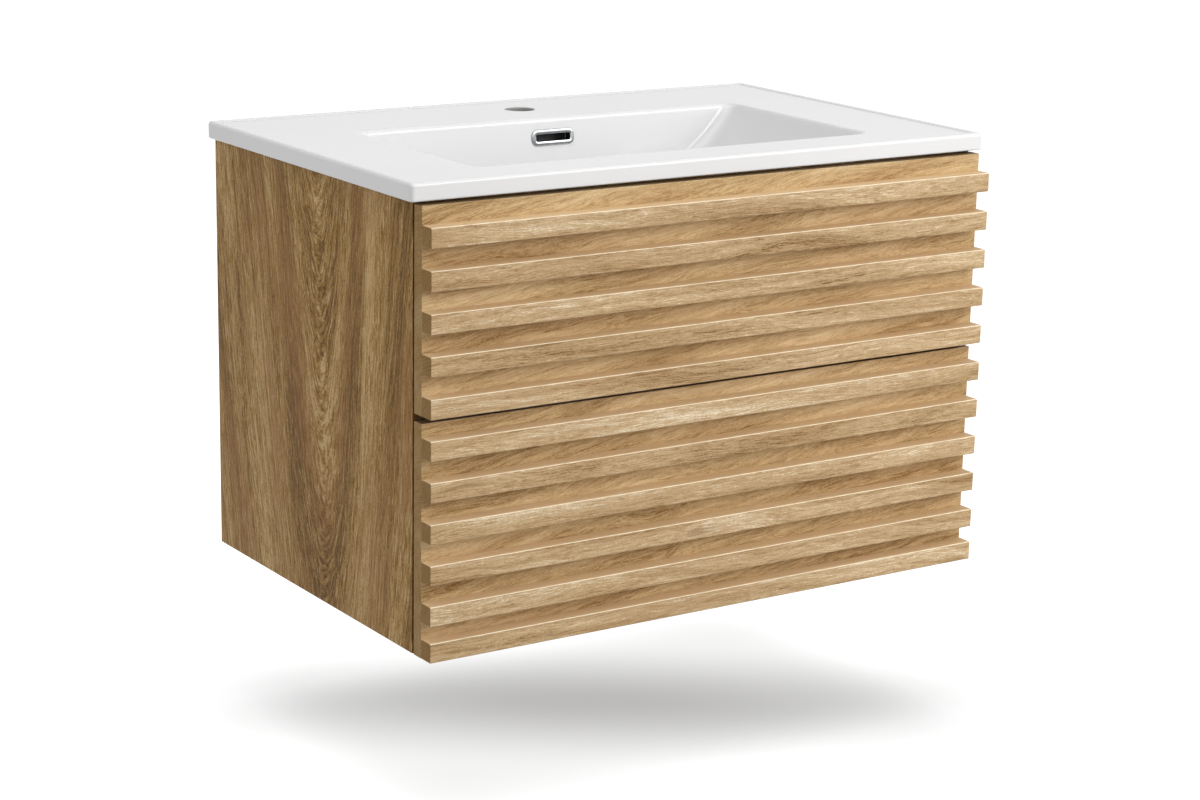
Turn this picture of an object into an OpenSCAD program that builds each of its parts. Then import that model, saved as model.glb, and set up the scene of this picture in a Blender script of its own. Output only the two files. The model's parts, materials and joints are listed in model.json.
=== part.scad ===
// Wall-hung vanity: an oak cabinet with two slatted drawers on ball runners and a ceramic basin.
// X runs to the right, Y into the wall and Z up. The origin is the centre of the four wall
// screws, on the wall. Inside the modules, heights count from the bottom edge of the fronts.

/* [Cabinet] */
// Width of the cabinet and of both fronts
cabinet_w = 750; // [640:10:900]
// Thickness of the cabinet boards
board_t = 16; // [15:0.5:19]
// Height of the rail under the front of the basin
front_rail_h = 50; // [40:1:60]
// Height of each of the two back rails
back_rail_h = 80; // [70:1:110]
// Free depth between the back rails and the wall
service_gap = 18; // [14:1:22]
// Free depth between the drawers and the back rails, for pipes
pipe_space = 35; // [26:1:60]

/* [Fronts] */
// Height of the lower front
lower_front_h = 260; // [250:1:320]
// Height of the upper front
upper_front_h = 224; // [214:1:260]
// Thickness of the front panels
front_t = 16; // [15:0.5:19]
// Gap between the two fronts
drawer_gap = 8; // [4:0.5:10]
// Gap between the upper front and the basin
top_gap = 3; // [2:0.5:5]
// Gap between the cabinet's front edge and the closed fronts
front_gap = 3; // [2:0.5:4]

/* [Slats] */
// Height of a slat
slat_h = 22; // [16:0.5:26]
// How far a slat stands out from its panel
slat_d = 20; // [12:1:26]
// Height of the bare strip above the upper front's slats
upper_strip_h = 20; // [14:0.5:26]
// Height of the bare strip above the lower front's slats
lower_strip_h = 15; // [14:0.5:26]
// Distance from the lowest slat of all to the next one
lowest_pitch = 41; // [36:0.5:46]
// Number of slats on the upper front
upper_slats = 5; // [3:1:5]
// Number of slats on the lower front
lower_slats = 6; // [3:1:6]
// Rounding of a slat's long front edges
slat_edge_r = 1; // [0.5:0.1:2]

/* [Basin slab] */
// Thickness of the basin's visible edge
slab_t = 20; // [17:0.5:26]
// Overhang of the basin past each side panel
slab_side_overhang = 10; // [4:1:16]
// Overhang of the basin past the cabinet's front edge
slab_front_overhang = 14; // [8:1:20]
// Rounding of the basin's outer corners, seen from above
slab_corner_r = 5; // [5:0.5:12]
// Rounding of the basin's upper outer edge
slab_edge_r = 4; // [2:0.5:4.5]
// Width of the raised border round the deck
lip_w = 9; // [7:0.5:14]
// Height of the raised border above the deck
lip_h = 1.5; // [0.8:0.1:2.5]
// Thickness of the ceramic in the deck and the bowl
ceramic_t = 9; // [7:0.5:11]
// Width of the solid rim that rests on the cabinet
rest_w = 30; // [27:1:36]

/* [Bowl] */
// Length of the bowl at the deck
bowl_l = 540; // [440:5:560]
// Depth of the bowl below the deck
bowl_depth = 100; // [80:1:104]
// Width of the deck in front of the bowl
front_deck = 65; // [58:1:80]
// Width of the deck behind the bowl, where the tap stands
back_deck = 138; // [130:1:150]
// Radius of the long curve that each end of the bowl follows down to the floor
end_r = 260; // [220:5:290]
// Lean of the bowl's front and back walls, in degrees
wall_lean = 8; // [4:1:12]
// Radius between the front or back wall and the floor
floor_r = 40; // [30:1:48]
// Rounding of the bowl's upper edge
rim_r = 6; // [4:0.5:9]
// Rounding of the bowl's corners at the deck, seen from above
rim_corner_r = 16; // [12:1:30]
// Rounding of the bowl's corners at the floor
floor_corner_r = 26; // [20:1:48]

/* [Basin holes] */
// Radius of the tap hole
tap_hole_r = 17.5; // [16:0.5:18]
// Distance from the wall to the tap hole's centre
tap_from_wall = 70; // [66:1:76]
// Rounding of the tap hole's upper edge
tap_edge_r = 3; // [1.5:0.5:4]
// Radius of the solid boss round the tap hole
tap_boss_r = 30; // [26:1:33]
// Radius of the waste hole
waste_hole_r = 23; // [21:0.5:24]
// Radius of the boss round the waste hole
waste_boss_r = 36; // [32:1:40]
// Radius of the shallow cone round the waste hole
waste_dish_r = 55; // [44:1:58]
// Depth of that cone
waste_dish_h = 3; // [2:0.5:4]
// Length of the overflow opening
overflow_l = 48; // [40:1:54]
// Height of the overflow opening
overflow_h = 8.5; // [7:0.5:10]
// Depth of the overflow's centre below the deck
overflow_drop = 24; // [22:0.5:28]
// Width of the metal border round the overflow opening
overflow_border = 5.5; // [4:0.5:7]
// How far the metal border stands out from the bowl's wall
overflow_proud = 2; // [1.5:0.25:3]
// Wall of the sleeve behind the metal border
sleeve_t = 1; // [0.8:0.1:1.4]
// Width of the water way behind the bowl
channel_w = 12; // [10:0.5:15]
// Wall of the water way
channel_wall = 6; // [5:0.5:8]

/* [Drawer boxes] */
// Thickness of the drawer sides and backs
box_t = 14; // [12:0.5:16]
// Height of the upper drawer's sides
upper_side_h = 100; // [90:1:102]
// Height of the lower drawer's sides
lower_side_h = 180; // [120:5:200]
// Height of the drawer box above the bottom edge of its front
upper_box_rise = 16; // [12:1:18]
// The same for the lower drawer, clear of the bottom panel
lower_box_rise = 28; // [24:1:34]
// Thickness of the drawer bottoms
bottom_t = 8; // [6:0.5:9]
// Height of the drawer bottom above the lower edge of the sides
bottom_rise = 10; // [8:1:12]
// Depth of the grooves that hold the drawer bottoms
groove_d = 6; // [4:0.5:8]

/* [Trap recess] */
// Clear width of the recess in the upper drawer
recess_w = 160; // [140:5:190]
// Clear depth of the recess in front of the waste's middle
recess_front = 70; // [62:1:90]
// Rounding of the recess's front corners
recess_r = 24; // [18:1:30]
// Wall of the recess's liner
liner_t = 3; // [2:0.5:4]
// Width of the liner's foot on the drawer bottom
liner_foot_w = 10; // [8:1:14]
// Thickness of the liner's foot
liner_foot_t = 2; // [1.5:0.5:3]

/* [Runners] */
// Length of a runner, which is also the drawer's travel
runner_l = 400; // [380:5:405]
// Height of a runner
runner_h = 45; // [43:0.5:48]
// Thickness of a runner, which fills the space beside the drawer
runner_t = 12.7; // [12.5:0.1:13.5]
// Distance from the cabinet's front edge to the runner's front end
runner_setback = 2; // [1:0.5:4]
// Height of a runner's middle above the lower edge of the drawer side
runner_rise = 36; // [32:1:44]
// Thickness of the runner's steel
steel_t = 1.2; // [1:0.1:1.3]
// Running gap between two webs
web_gap = 1.2; // [1:0.1:1.4]
// Space between the middle member's web and the drawer member
slim_gap = 1.4; // [1.2:0.1:1.6]
// How far the fixed member stops short of the drawer side
fixed_stop = 2.2; // [2:0.1:2.6]
// How far the middle member stops short of the drawer side
middle_stop = 1.5; // [1.4:0.1:1.8]
// Height of the lips that keep the balls in
lip_drop = 1.6; // [1.2:0.1:1.9]
// Radius of a ball
ball_r = 2.38; // [2.2:0.02:2.5]
// Play between a ball and its track
ball_play = 0.05; // [0.02:0.01:0.09]
// Balls in one row of a cage
balls = 6; // [4:1:9]
// Thickness of a cage's strip
cage_t = 0.6; // [0.5:0.05:0.7]
// How far a cage's strip reaches past the middle of its balls
cage_reach = 2.9; // [2.6:0.1:3.1]
// How far a cage ends short of half the runner's length
cage_short = 10; // [6:1:20]

/* [Fasteners] */
// Radius of a wooden dowel
dowel_r = 4; // [3:0.5:4]
// Length of a wooden dowel
dowel_l = 30; // [28:1:34]
// Depth of a dowel in the board that it enters from the face
dowel_in = 10; // [8:0.5:11]
// Radius of a countersunk screw's shank
screw_r = 2; // [1.5:0.25:2.25]
// Radius of a countersunk screw's head
screw_head_r = 3.6; // [3:0.2:4]
// Length of a runner screw's shank
screw_l = 11; // [9:0.5:11.5]
// Distance from a runner's ends to its outer screws
screw_inset = 37; // [24:1:60]
// Length of the screws that hold a drawer bottom to the back
bottom_screw_l = 30; // [24:1:36]
// Radius of the soft pads behind the fronts
pad_r = 4; // [3:0.5:5]
// Distance from a front's edges to its pads
pad_inset = 20; // [14:1:30]
// Clearance between a pad and the closed front
pad_clearance = 0.3; // [0.2:0.1:0.5]

/* [Hangers] */
// Distance from the cabinet's top down to the middle of the wall screws
hang_drop = 55; // [55:0.5:60]
// Width of a wall plate
plate_w = 40; // [36:1:44]
// Gap between a wall plate and the side panel
plate_side_gap = 4; // [2:0.5:6]
// Thickness of a wall plate
plate_t = 2; // [1.5:0.25:2.5]
// Distance from the screws' middle to the plate's lower edge
plate_down = 26; // [24:1:32]
// Distance from the screws' middle up to the bend
plate_bend_z = 24; // [23:0.5:25]
// Distance from the wall to the back of the bent-out lip
plate_offset = 6; // [5.5:0.25:6.5]
// Distance from the screws' middle up to the top of the lip
plate_top_z = 40; // [39:0.5:41]
// Height between a wall plate's two screw holes
wall_hole_spacing = 32; // [26:1:34]
// Radius of a wall plate's screw holes
wall_hole_r = 3.5; // [2.5:0.25:4]
// Thickness of the hook's steel
hook_t = 3; // [2.5:0.25:3.25]
// Width of the hook
hook_w = 16; // [12:1:18]
// Depth of the hook's tip behind the lip
hook_grip = 9; // [7:0.5:9.5]
// Clearance between the hook's tip and the lip
hook_clearance = 0.3; // [0.2:0.1:0.5]
// Width of a hanger's housing
hanger_w = 28; // [26:1:30]
// Depth of a hanger's housing
hanger_d = 40; // [34:1:46]
// Height of a hanger's housing
hanger_h = 50; // [48:1:52]
// Wall of a hanger's housing
hanger_wall = 4; // [3:0.5:4.5]
// Rounding of a hanger's housing
hanger_r = 4; // [2:0.5:6]
// Radius of the pegs that hold a hanger in the side panel
peg_r = 5; // [4:0.5:6]
// Length of those pegs
peg_l = 11; // [9:0.5:12]
// Radius of an adjusting screw's shank
adjust_r = 3; // [2.5:0.25:3]
// Length of an adjusting screw's shank
adjust_l = 20; // [16:1:26]
// Radius of an adjusting screw's head
adjust_head_r = 5; // [4:0.5:6]
// Height of an adjusting screw's head
adjust_head_h = 3; // [2:0.5:4]
// Height between the adjusting screws
adjust_spacing = 18; // [14:1:20]
// Gap between a hanger's housing and the back rail
hanger_gap = 1.5; // [1:0.5:3]
// Free height above the hook inside its housing
hook_headroom = 3; // [2:0.5:4]
// Height of the notch in the back rail that lets the hook through
notch_h = 19; // [17:0.5:22]

/* [Hidden] */
upper_slat_names = [for (i = [1:upper_slats]) str("upper_slat_", i)];
lower_slat_names = [for (i = [1:lower_slats]) str("lower_slat_", i)];

$fn = 48;
cut = 1; // how far a cutting shape runs past the face that it opens
sides = [-1, 1]; // left and right

oak_front = [0.74, 0.60, 0.42];
oak_side = [0.58, 0.45, 0.30];
ceramic = [0.95, 0.95, 0.94];
chrome_colour = [0.78, 0.79, 0.80];
steel_colour = [0.70, 0.72, 0.74];
box_colour = [0.80, 0.78, 0.74];
beech = [0.82, 0.68, 0.48];
plastic_grey = [0.62, 0.63, 0.64];
pad_colour = [0.90, 0.90, 0.88];

// Main planes
inner_w = cabinet_w - 2 * board_t;
cabinet_d = runner_setback + runner_l + pipe_space + board_t + service_gap;
upper_front_z = lower_front_h + drawer_gap;
cabinet_h = upper_front_z + upper_front_h + top_gap;
wall_screw_z = cabinet_h - hang_drop;
front_back_y = -(cabinet_d + front_gap);
back_rail_y = -(service_gap + board_t);
top_rail_z = cabinet_h - back_rail_h;
upper_pitch = (upper_front_h - upper_strip_h - slat_h) / (upper_slats - 1);
lower_pitch = (lower_front_h - lower_strip_h - slat_h - lowest_pitch) / (lower_slats - 2);

// Basin
slab_w = cabinet_w + 2 * slab_side_overhang;
slab_d = cabinet_d + slab_front_overhang;
deck_z = cabinet_h + slab_t - lip_h;
bowl_w = slab_d - front_deck - back_deck;
bowl_y = -slab_d + front_deck + bowl_w / 2;
end_angle = acos(1 - bowl_depth / (end_r + rim_r)); // steepest slope of the bowl's ends
floor_a = bowl_l / 2 - (end_r + rim_r) * sin(end_angle); // where the flat floor ends
wall_start = rim_r * (1 - sin(wall_lean)); // depth at which the straight wall starts
wall_end = bowl_depth - floor_r * (1 - sin(wall_lean)); // depth at which it ends
floor_b = leaning_wall(wall_end) - floor_r * cos(wall_lean); // the same across the bowl
rings = 15; // steps of the bowl's loft down to the floor
corner_steps = 7; // steps of the loft round each corner
shell_first = 2; // the shell's loft starts inside the deck, at this step
channel_depth = bowl_depth + ceramic_t + channel_w; // depth of the water way's floor
overflow_y = bowl_y + wall_half(overflow_drop);

// Drawers
box_w = inner_w - 2 * runner_t;
box_inner_w = box_w - 2 * box_t;
box_back_y = -cabinet_d + runner_setback + runner_l;
upper_box_z = upper_front_z + upper_box_rise;
lower_box_z = lower_box_rise;
liner_w = recess_w + 2 * liner_t;
recess_d = box_back_y - bowl_y + recess_front;

// Runners: each member is a channel round the next, with a row of balls between
runner_back_y = box_back_y;
track = steel_t + 2 * (ball_r + ball_play);
middle_h = runner_h - 2 * track;
slim_h = middle_h - 2 * track;
middle_x = steel_t + web_gap;
slim_tip_x = middle_x + steel_t + slim_gap;
fixed_depth = runner_t - fixed_stop;
middle_depth = runner_t - middle_stop - middle_x;
slim_depth = runner_t - slim_tip_x;
outer_ball_x = fixed_depth / 2;
outer_ball_z = runner_h / 2 - steel_t - ball_r - ball_play;
inner_ball_x = middle_x + middle_depth / 2;
inner_ball_z = middle_h / 2 - steel_t - ball_r - ball_play;
outer_cage_x = steel_t + web_gap / 2;
inner_cage_x = middle_x + steel_t + slim_gap / 2;
cage_l = runner_l / 2 - cage_short;
screw_places = [screw_inset, runner_l / 2, runner_l - screw_inset];

// Hangers
plate_x = inner_w / 2 - plate_side_gap - plate_w / 2;
hanger_x = (inner_w - hanger_w) / 2;
hanger_back_y = back_rail_y - hanger_gap;
hanger_front_y = hanger_back_y - hanger_d;
hanger_top_z = plate_top_z + hook_t + hook_headroom + hanger_wall;
hook_tip_y = -(plate_offset - hook_clearance - hook_t);
adjust_z = hanger_top_z - hanger_h / 2;

// ---- Small helpers ----

// Places the children, whose heights count from the fronts' bottom edge, in the frame of the part
module hung() {
    translate([0, 0, -wall_screw_z]) children();
}

// A rectangle with rounded corners, centred
module rounded_rect(w, d, r) {
    square([w - 2 * r, d], center = true);
    square([w, d - 2 * r], center = true);
    for (x = sides, y = sides)
        translate([x * (w / 2 - r), y * (d / 2 - r)]) circle(r);
}

// Extrudes a flat shape, drawn in Y and Z, along X
module along_x(length) {
    translate([-length / 2, 0, 0]) rotate([90, 0, 90]) linear_extrude(length) children();
}

// Extrudes a flat shape, drawn in X and Z, from y towards the room
module along_y(y, length) {
    translate([0, y, 0]) rotate([90, 0, 0]) linear_extrude(length) children();
}

// Mirrors the children to the left side when side is -1
module on_side(side) {
    mirror([side < 0 ? 1 : 0, 0, 0]) children();
}

// A countersunk screw: the head is flush with the XY plane and the shank points down
module countersunk(length) {
    translate([0, 0, -steel_t]) cylinder(h = steel_t, r1 = screw_r, r2 = screw_head_r);
    translate([0, 0, -steel_t - length]) cylinder(h = length, r = screw_r);
}

// ---- Cabinet ----

module carcase_dowels() {
    rail_z = cabinet_h - front_rail_h / 2;
    low_h = back_rail_h - notch_h;
    back_y = back_rail_y + board_t / 2;
    places = [
        for (k = [1:3]) [-cabinet_d * k / 4, board_t / 2],
        for (s = sides) [-cabinet_d + board_t / 2, rail_z + s * front_rail_h / 4],
        for (s = sides) [back_y, top_rail_z + low_h / 2 + s * low_h / 4],
        for (s = sides) [back_y, board_t + back_rail_h / 2 + s * back_rail_h / 4]
    ];
    color(beech)
        for (side = sides, p = places)
            on_side(side)
                translate([inner_w / 2 + dowel_in - dowel_l, p[0], p[1]])
                    rotate([0, 90, 0]) cylinder(h = dowel_l, r = dowel_r);
}

module side_panel(side) {
    color(oak_side)
        difference() {
            on_side(side)
                translate([inner_w / 2, -cabinet_d, 0]) cube([board_t, cabinet_d, cabinet_h]);
            carcase_dowels();
            runner_screws();
            on_side(side) hanger_pegs();
        }
}

module cross_board(y, z, depth, height) {
    color(oak_side)
        difference() {
            translate([-inner_w / 2, y, z]) cube([inner_w, depth, height]);
            carcase_dowels();
            children();
        }
}

module bottom_panel() {
    cross_board(-cabinet_d, 0, cabinet_d - service_gap, board_t);
}

module front_rail() {
    cross_board(-cabinet_d, cabinet_h - front_rail_h, board_t, front_rail_h);
}

// The notches at its upper corners let the hooks through to the wall plates
module back_rail_top() {
    cross_board(back_rail_y, top_rail_z, board_t, back_rail_h)
        for (side = sides)
            on_side(side)
                translate([inner_w / 2 - hanger_w - cut, back_rail_y - cut, cabinet_h - notch_h])
                    cube([hanger_w + 2 * cut, board_t + 2 * cut, notch_h + cut]);
}

module back_rail_bottom() {
    cross_board(back_rail_y, board_t, board_t, back_rail_h);
}

module front_pads() {
    heights = [
        pad_inset, lower_front_h - pad_inset,
        upper_front_z + pad_inset, upper_front_z + upper_front_h - pad_inset
    ];
    color(pad_colour)
        for (side = sides, z = heights)
            translate([side * (inner_w + board_t) / 2, -cabinet_d, z])
                rotate([90, 0, 0]) cylinder(h = front_gap - pad_clearance, r = pad_r);
}

// ---- Basin ----

// Half the bowl's length at a depth below the deck: a small round edge, then one long curve
function end_half(d) =
    d < rim_r * (1 - cos(end_angle))
        ? bowl_l / 2 - sqrt(max(0, rim_r ^ 2 - (rim_r - d) ^ 2))
        : floor_a + sqrt(max(0, end_r ^ 2 - (end_r - bowl_depth + d) ^ 2));

// Half the bowl's width at a depth, on the straight stretch of its front and back walls
function leaning_wall(d) = bowl_w / 2 - rim_r * cos(wall_lean) - (d - wall_start) * tan(wall_lean);

// Half the bowl's width at any depth: a small round edge, a leaning wall, a curve to the floor
function wall_half(d) =
    d < wall_start
        ? bowl_w / 2 - sqrt(max(0, rim_r ^ 2 - (rim_r - d) ^ 2))
        : d < wall_end
            ? leaning_wall(d)
            : floor_b + sqrt(max(0, floor_r ^ 2 - (d - bowl_depth + floor_r) ^ 2));

// One level outline of the bowl at a depth, grown outwards by a wall thickness
function bowl_ring(d, grow, z) =
    let (
        a = end_half(d) + grow,
        b = wall_half(d) + grow,
        r = rim_corner_r + (floor_corner_r - rim_corner_r) * d / bowl_depth + grow
    )
    [
        for (quarter = [0:3], k = [0:corner_steps])
            let (
                angle = 90 * (quarter + k / corner_steps),
                sx = quarter == 0 || quarter == 3 ? 1 : -1,
                sy = quarter < 2 ? 1 : -1
            )
            [sx * (a - r) + r * cos(angle), sy * (b - r) + r * sin(angle), z]
    ];

// A solid with the bowl's shape, lofted through level outlines that crowd at rim and floor
module bowl_solid(grow, first, lift) {
    stretch = 1 + grow / bowl_depth;
    depths = [for (k = [first:rings]) bowl_depth * (1 - cos(180 * k / rings)) / 2];
    top = lift > 0 ? [bowl_ring(depths[0], grow, lift)] : [];
    outlines = concat(top, [for (d = depths) bowl_ring(d, grow, -d * stretch)]);
    n = len(outlines[0]);
    last = len(outlines) - 1;
    polyhedron(
        points = [for (ring = outlines, p = ring) p],
        faces = concat(
            [[for (k = [n - 1:-1:0]) k]],
            [for (i = [0:last - 1], k = [0:n - 1])
                each let (a = i * n + k, b = i * n + (k + 1) % n) [[a, b, b + n], [a, b + n, a + n]]],
            [[for (k = [0:n - 1]) last * n + k]]));
}

// Flat plate with rounded corners and a rounded upper edge, its underside on the XY plane
module soft_plate(w, d, t, corner, edge) {
    linear_extrude(t - edge) rounded_rect(w, d, corner);
    linear_extrude(t) rounded_rect(w - 2 * edge, d - 2 * edge, corner - edge);
    translate([0, 0, t - edge]) {
        for (s = sides) {
            translate([0, s * (d / 2 - edge), 0]) rotate([0, 90, 0])
                cylinder(h = w - 2 * corner, r = edge, center = true);
            translate([s * (w / 2 - edge), 0, 0]) rotate([90, 0, 0])
                cylinder(h = d - 2 * corner, r = edge, center = true);
        }
        for (x = sides, y = sides)
            translate([x * (w / 2 - corner), y * (d / 2 - corner), 0])
                rotate_extrude() intersection() {
                    translate([corner - edge, 0]) circle(edge);
                    translate([0, -edge]) square([corner, 2 * edge]);
                }
    }
}

// The slab without its bowl: raised border, sunk deck, and an open underside inside the rim
module slab() {
    pocket_h = slab_t - lip_h - ceramic_t;
    translate([0, -slab_d / 2, cabinet_h])
        difference() {
            soft_plate(slab_w, slab_d, slab_t, slab_corner_r, slab_edge_r);
            translate([0, 0, slab_t - lip_h]) linear_extrude(lip_h + cut)
                rounded_rect(slab_w - 2 * lip_w, slab_d - 2 * lip_w, slab_corner_r);
            translate([0, 0, -cut]) linear_extrude(pocket_h + cut)
                rounded_rect(slab_w - 2 * rest_w, slab_d - 2 * rest_w, slab_corner_r);
        }
}

// One wall of the water way, at a distance outside the bowl: down from a depth, round the
// bowl's lower curve and forward to the waste. Y counts from the waste and Z from the deck.
function water_wall(away, top) = concat(
    [[leaning_wall(top) + away / cos(wall_lean), -top]],
    [
        for (angle = [wall_lean:(90 - wall_lean) / corner_steps:90])
            [
                floor_b + (floor_r + away) * cos(angle),
                floor_r - bowl_depth - (floor_r + away) * sin(angle)
            ]
    ],
    [[0, -bowl_depth - away]]);

// The water way's outline between two such walls
module water_way(near, far, top) {
    far_wall = water_wall(far, top);
    polygon(concat(water_wall(near, top), [for (k = [len(far_wall) - 1:-1:0]) far_wall[k]]));
}

// A flat shape with the overflow opening's form, grown by a border
module overflow_outline(grow) {
    rounded_rect(overflow_l + 2 * grow, overflow_h + 2 * grow, overflow_h / 4 + grow);
}

// Places flat shapes on the bowl's leaning back wall, their normal towards the room
module on_back_wall() {
    translate([0, overflow_y, deck_z - overflow_drop])
        rotate([90 - wall_lean, 0, 0]) children();
}

module basin() {
    sleeve_back = ceramic_t + cut;
    color(ceramic)
        difference() {
            union() {
                slab();
                translate([0, bowl_y, deck_z]) {
                    bowl_solid(ceramic_t, shell_first, 0);
                    along_x(overflow_l + 2 * channel_wall)
                        water_way(ceramic_t / 2, ceramic_t + channel_w + channel_wall, ceramic_t / 2);
                    translate([0, 0, -channel_depth - channel_wall])
                        cylinder(h = channel_depth + channel_wall - bowl_depth, r = waste_boss_r);
                }
                translate([0, -tap_from_wall, cabinet_h])
                    cylinder(h = slab_t - lip_h - ceramic_t / 2, r = tap_boss_r);
            }
            translate([0, bowl_y, deck_z]) {
                bowl_solid(0, 0, lip_h + cut);
                along_x(overflow_l)
                    water_way(ceramic_t, ceramic_t + channel_w, overflow_drop - overflow_h);
                translate([0, 0, -bowl_depth]) rotate_extrude()
                    polygon([
                        [0, -waste_dish_h], [waste_hole_r, -waste_dish_h], [waste_dish_r, 0], [0, cut]
                    ]);
                translate([0, 0, -channel_depth - channel_wall - cut])
                    cylinder(h = channel_depth + channel_wall, r = waste_hole_r);
            }
            on_back_wall()
                translate([0, 0, -sleeve_back]) linear_extrude(sleeve_back + cut)
                    overflow_outline(sleeve_t);
            translate([0, -tap_from_wall, cabinet_h - cut])
                cylinder(h = slab_t + 2 * cut, r = tap_hole_r);
            translate([0, -tap_from_wall, deck_z - tap_edge_r])
                rotate_extrude() difference() {
                    square([tap_hole_r + tap_edge_r, tap_edge_r + cut]);
                    translate([tap_hole_r + tap_edge_r, 0]) circle(tap_edge_r);
                }
        }
}

// A bright border on the bowl's wall, with a sleeve that lines the opening
module overflow_ring() {
    color(chrome_colour)
        on_back_wall()
            difference() {
                union() {
                    linear_extrude(overflow_proud) overflow_outline(overflow_border);
                    translate([0, 0, -ceramic_t]) linear_extrude(ceramic_t + overflow_proud)
                        overflow_outline(sleeve_t);
                }
                translate([0, 0, -ceramic_t - cut])
                    linear_extrude(ceramic_t + overflow_proud + 2 * cut) overflow_outline(0);
            }
}

// ---- Hangers: a housing on each side panel carries a hook, which drops over a wall plate ----

module wall_plate(side) {
    lean = plate_t * tan(45 / 2); // keeps the thickness round the two bends of 45 degrees
    color(steel_colour)
        difference() {
            translate([side * plate_x, 0, wall_screw_z])
                along_x(plate_w)
                    polygon([
                        [0, -plate_down], [-plate_t, -plate_down],
                        [-plate_t, plate_bend_z - lean],
                        [-plate_offset - plate_t, plate_bend_z + plate_offset - lean],
                        [-plate_offset - plate_t, plate_top_z], [-plate_offset, plate_top_z],
                        [-plate_offset, plate_bend_z + plate_offset], [0, plate_bend_z]
                    ]);
            for (s = sides)
                translate([side * plate_x, cut, wall_screw_z + s * wall_hole_spacing / 2])
                    rotate([90, 0, 0]) cylinder(h = plate_t + 2 * cut, r = wall_hole_r);
        }
}

// The tip reaches down behind the plate's lip and the far end turns down inside the housing
module hanger_hooks() {
    leg_y = hanger_front_y + hanger_wall;
    leg_low = hanger_top_z - hanger_h + 2 * hanger_wall;
    color(steel_colour)
        for (side = sides)
            difference() {
                translate([side * hanger_x, 0, wall_screw_z])
                    along_x(hook_w)
                        polygon([
                            [hook_tip_y, plate_top_z - hook_grip],
                            [hook_tip_y - hook_t, plate_top_z - hook_grip],
                            [hook_tip_y - hook_t, plate_top_z],
                            [leg_y + hook_t, plate_top_z],
                            [leg_y + hook_t, leg_low],
                            [leg_y, leg_low],
                            [leg_y, plate_top_z + hook_t],
                            [hook_tip_y, plate_top_z + hook_t]
                        ]);
                hanger_screws();
            }
}

module hanger_pegs() {
    for (s = sides)
        translate([inner_w / 2, hanger_front_y + hanger_d / 2, wall_screw_z + adjust_z + s * hanger_h / 4])
            rotate([0, 90, 0]) cylinder(h = peg_l, r = peg_r);
}

// A closed-sided housing, open at the back where the hook comes out
module hanger(side) {
    middle = [hanger_front_y + hanger_d / 2, wall_screw_z + adjust_z];
    color(plastic_grey)
        difference() {
            on_side(side) union() {
                translate([hanger_x, 0, 0]) along_x(hanger_w)
                    translate(middle) rounded_rect(hanger_d, hanger_h, hanger_r);
                hanger_pegs();
            }
            on_side(side)
                translate([hanger_x, 0, 0]) along_x(hanger_w - 2 * hanger_wall)
                    translate([hanger_front_y + hanger_wall, middle[1] - hanger_h / 2 + hanger_wall])
                        square([hanger_d, hanger_h - 2 * hanger_wall]);
            hanger_screws();
        }
}

module hanger_screws() {
    color(steel_colour)
        for (side = sides, s = sides)
            translate([side * hanger_x, hanger_front_y, wall_screw_z + adjust_z + s * adjust_spacing / 2])
                rotate([90, 0, 0]) {
                    cylinder(h = adjust_head_h, r = adjust_head_r);
                    translate([0, 0, -adjust_l]) cylinder(h = adjust_l, r = adjust_r);
                }
}

// ---- Runners ----

// A channel that opens to the right: its web stands at x, and its flanges end in small lips
module channel(x, h, depth, lip) {
    translate([x, -h / 2]) square([steel_t, h]);
    for (s = sides)
        mirror([0, s < 0 ? 1 : 0]) {
            translate([x, h / 2 - steel_t]) square([depth, steel_t]);
            translate([x + depth - steel_t, h / 2 - steel_t - lip]) square([steel_t, steel_t + lip]);
        }
}

// Puts a runner's section, drawn from the side panel inwards, at the height of a drawer box
module runner_member(side, box_z) {
    on_side(side)
        translate([inner_w / 2, 0, box_z + runner_rise])
            mirror([1, 0, 0]) along_y(runner_back_y, runner_l) children();
}

// The screw holes of one runner, counted from its front end
module at_screws(side, x, box_z) {
    for (p = screw_places)
        on_side(side)
            translate([inner_w / 2 - x, runner_back_y - runner_l + p, box_z + runner_rise])
                rotate([0, -90, 0]) children();
}

module runner_fixed(side, box_z) {
    color(steel_colour)
        difference() {
            runner_member(side, box_z) channel(0, runner_h, fixed_depth, lip_drop);
            at_screws(side, steel_t, box_z) countersunk(cut);
        }
}

// Its web has holes through which the fixed member's screws are reached
module runner_middle(side, box_z) {
    color(steel_colour)
        difference() {
            runner_member(side, box_z) channel(middle_x, middle_h, middle_depth, lip_drop);
            at_screws(side, 0, box_z)
                cylinder(h = middle_x + steel_t + web_gap, r = screw_head_r + web_gap);
        }
}

module runner_slim(side, box_z) {
    color(steel_colour)
        difference() {
            runner_member(side, box_z)
                translate([runner_t, 0]) mirror([1, 0]) channel(0, slim_h, slim_depth, 0);
            slim_screws(side, box_z, cut);
        }
}

module slim_screws(side, box_z, length) {
    at_screws(side, runner_t - steel_t, box_z) mirror([0, 0, 1]) countersunk(length);
}

module runner_screws() {
    color(steel_colour)
        for (side = sides, z = [lower_box_z, upper_box_z])
            at_screws(side, steel_t, z) countersunk(screw_l);
}

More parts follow.
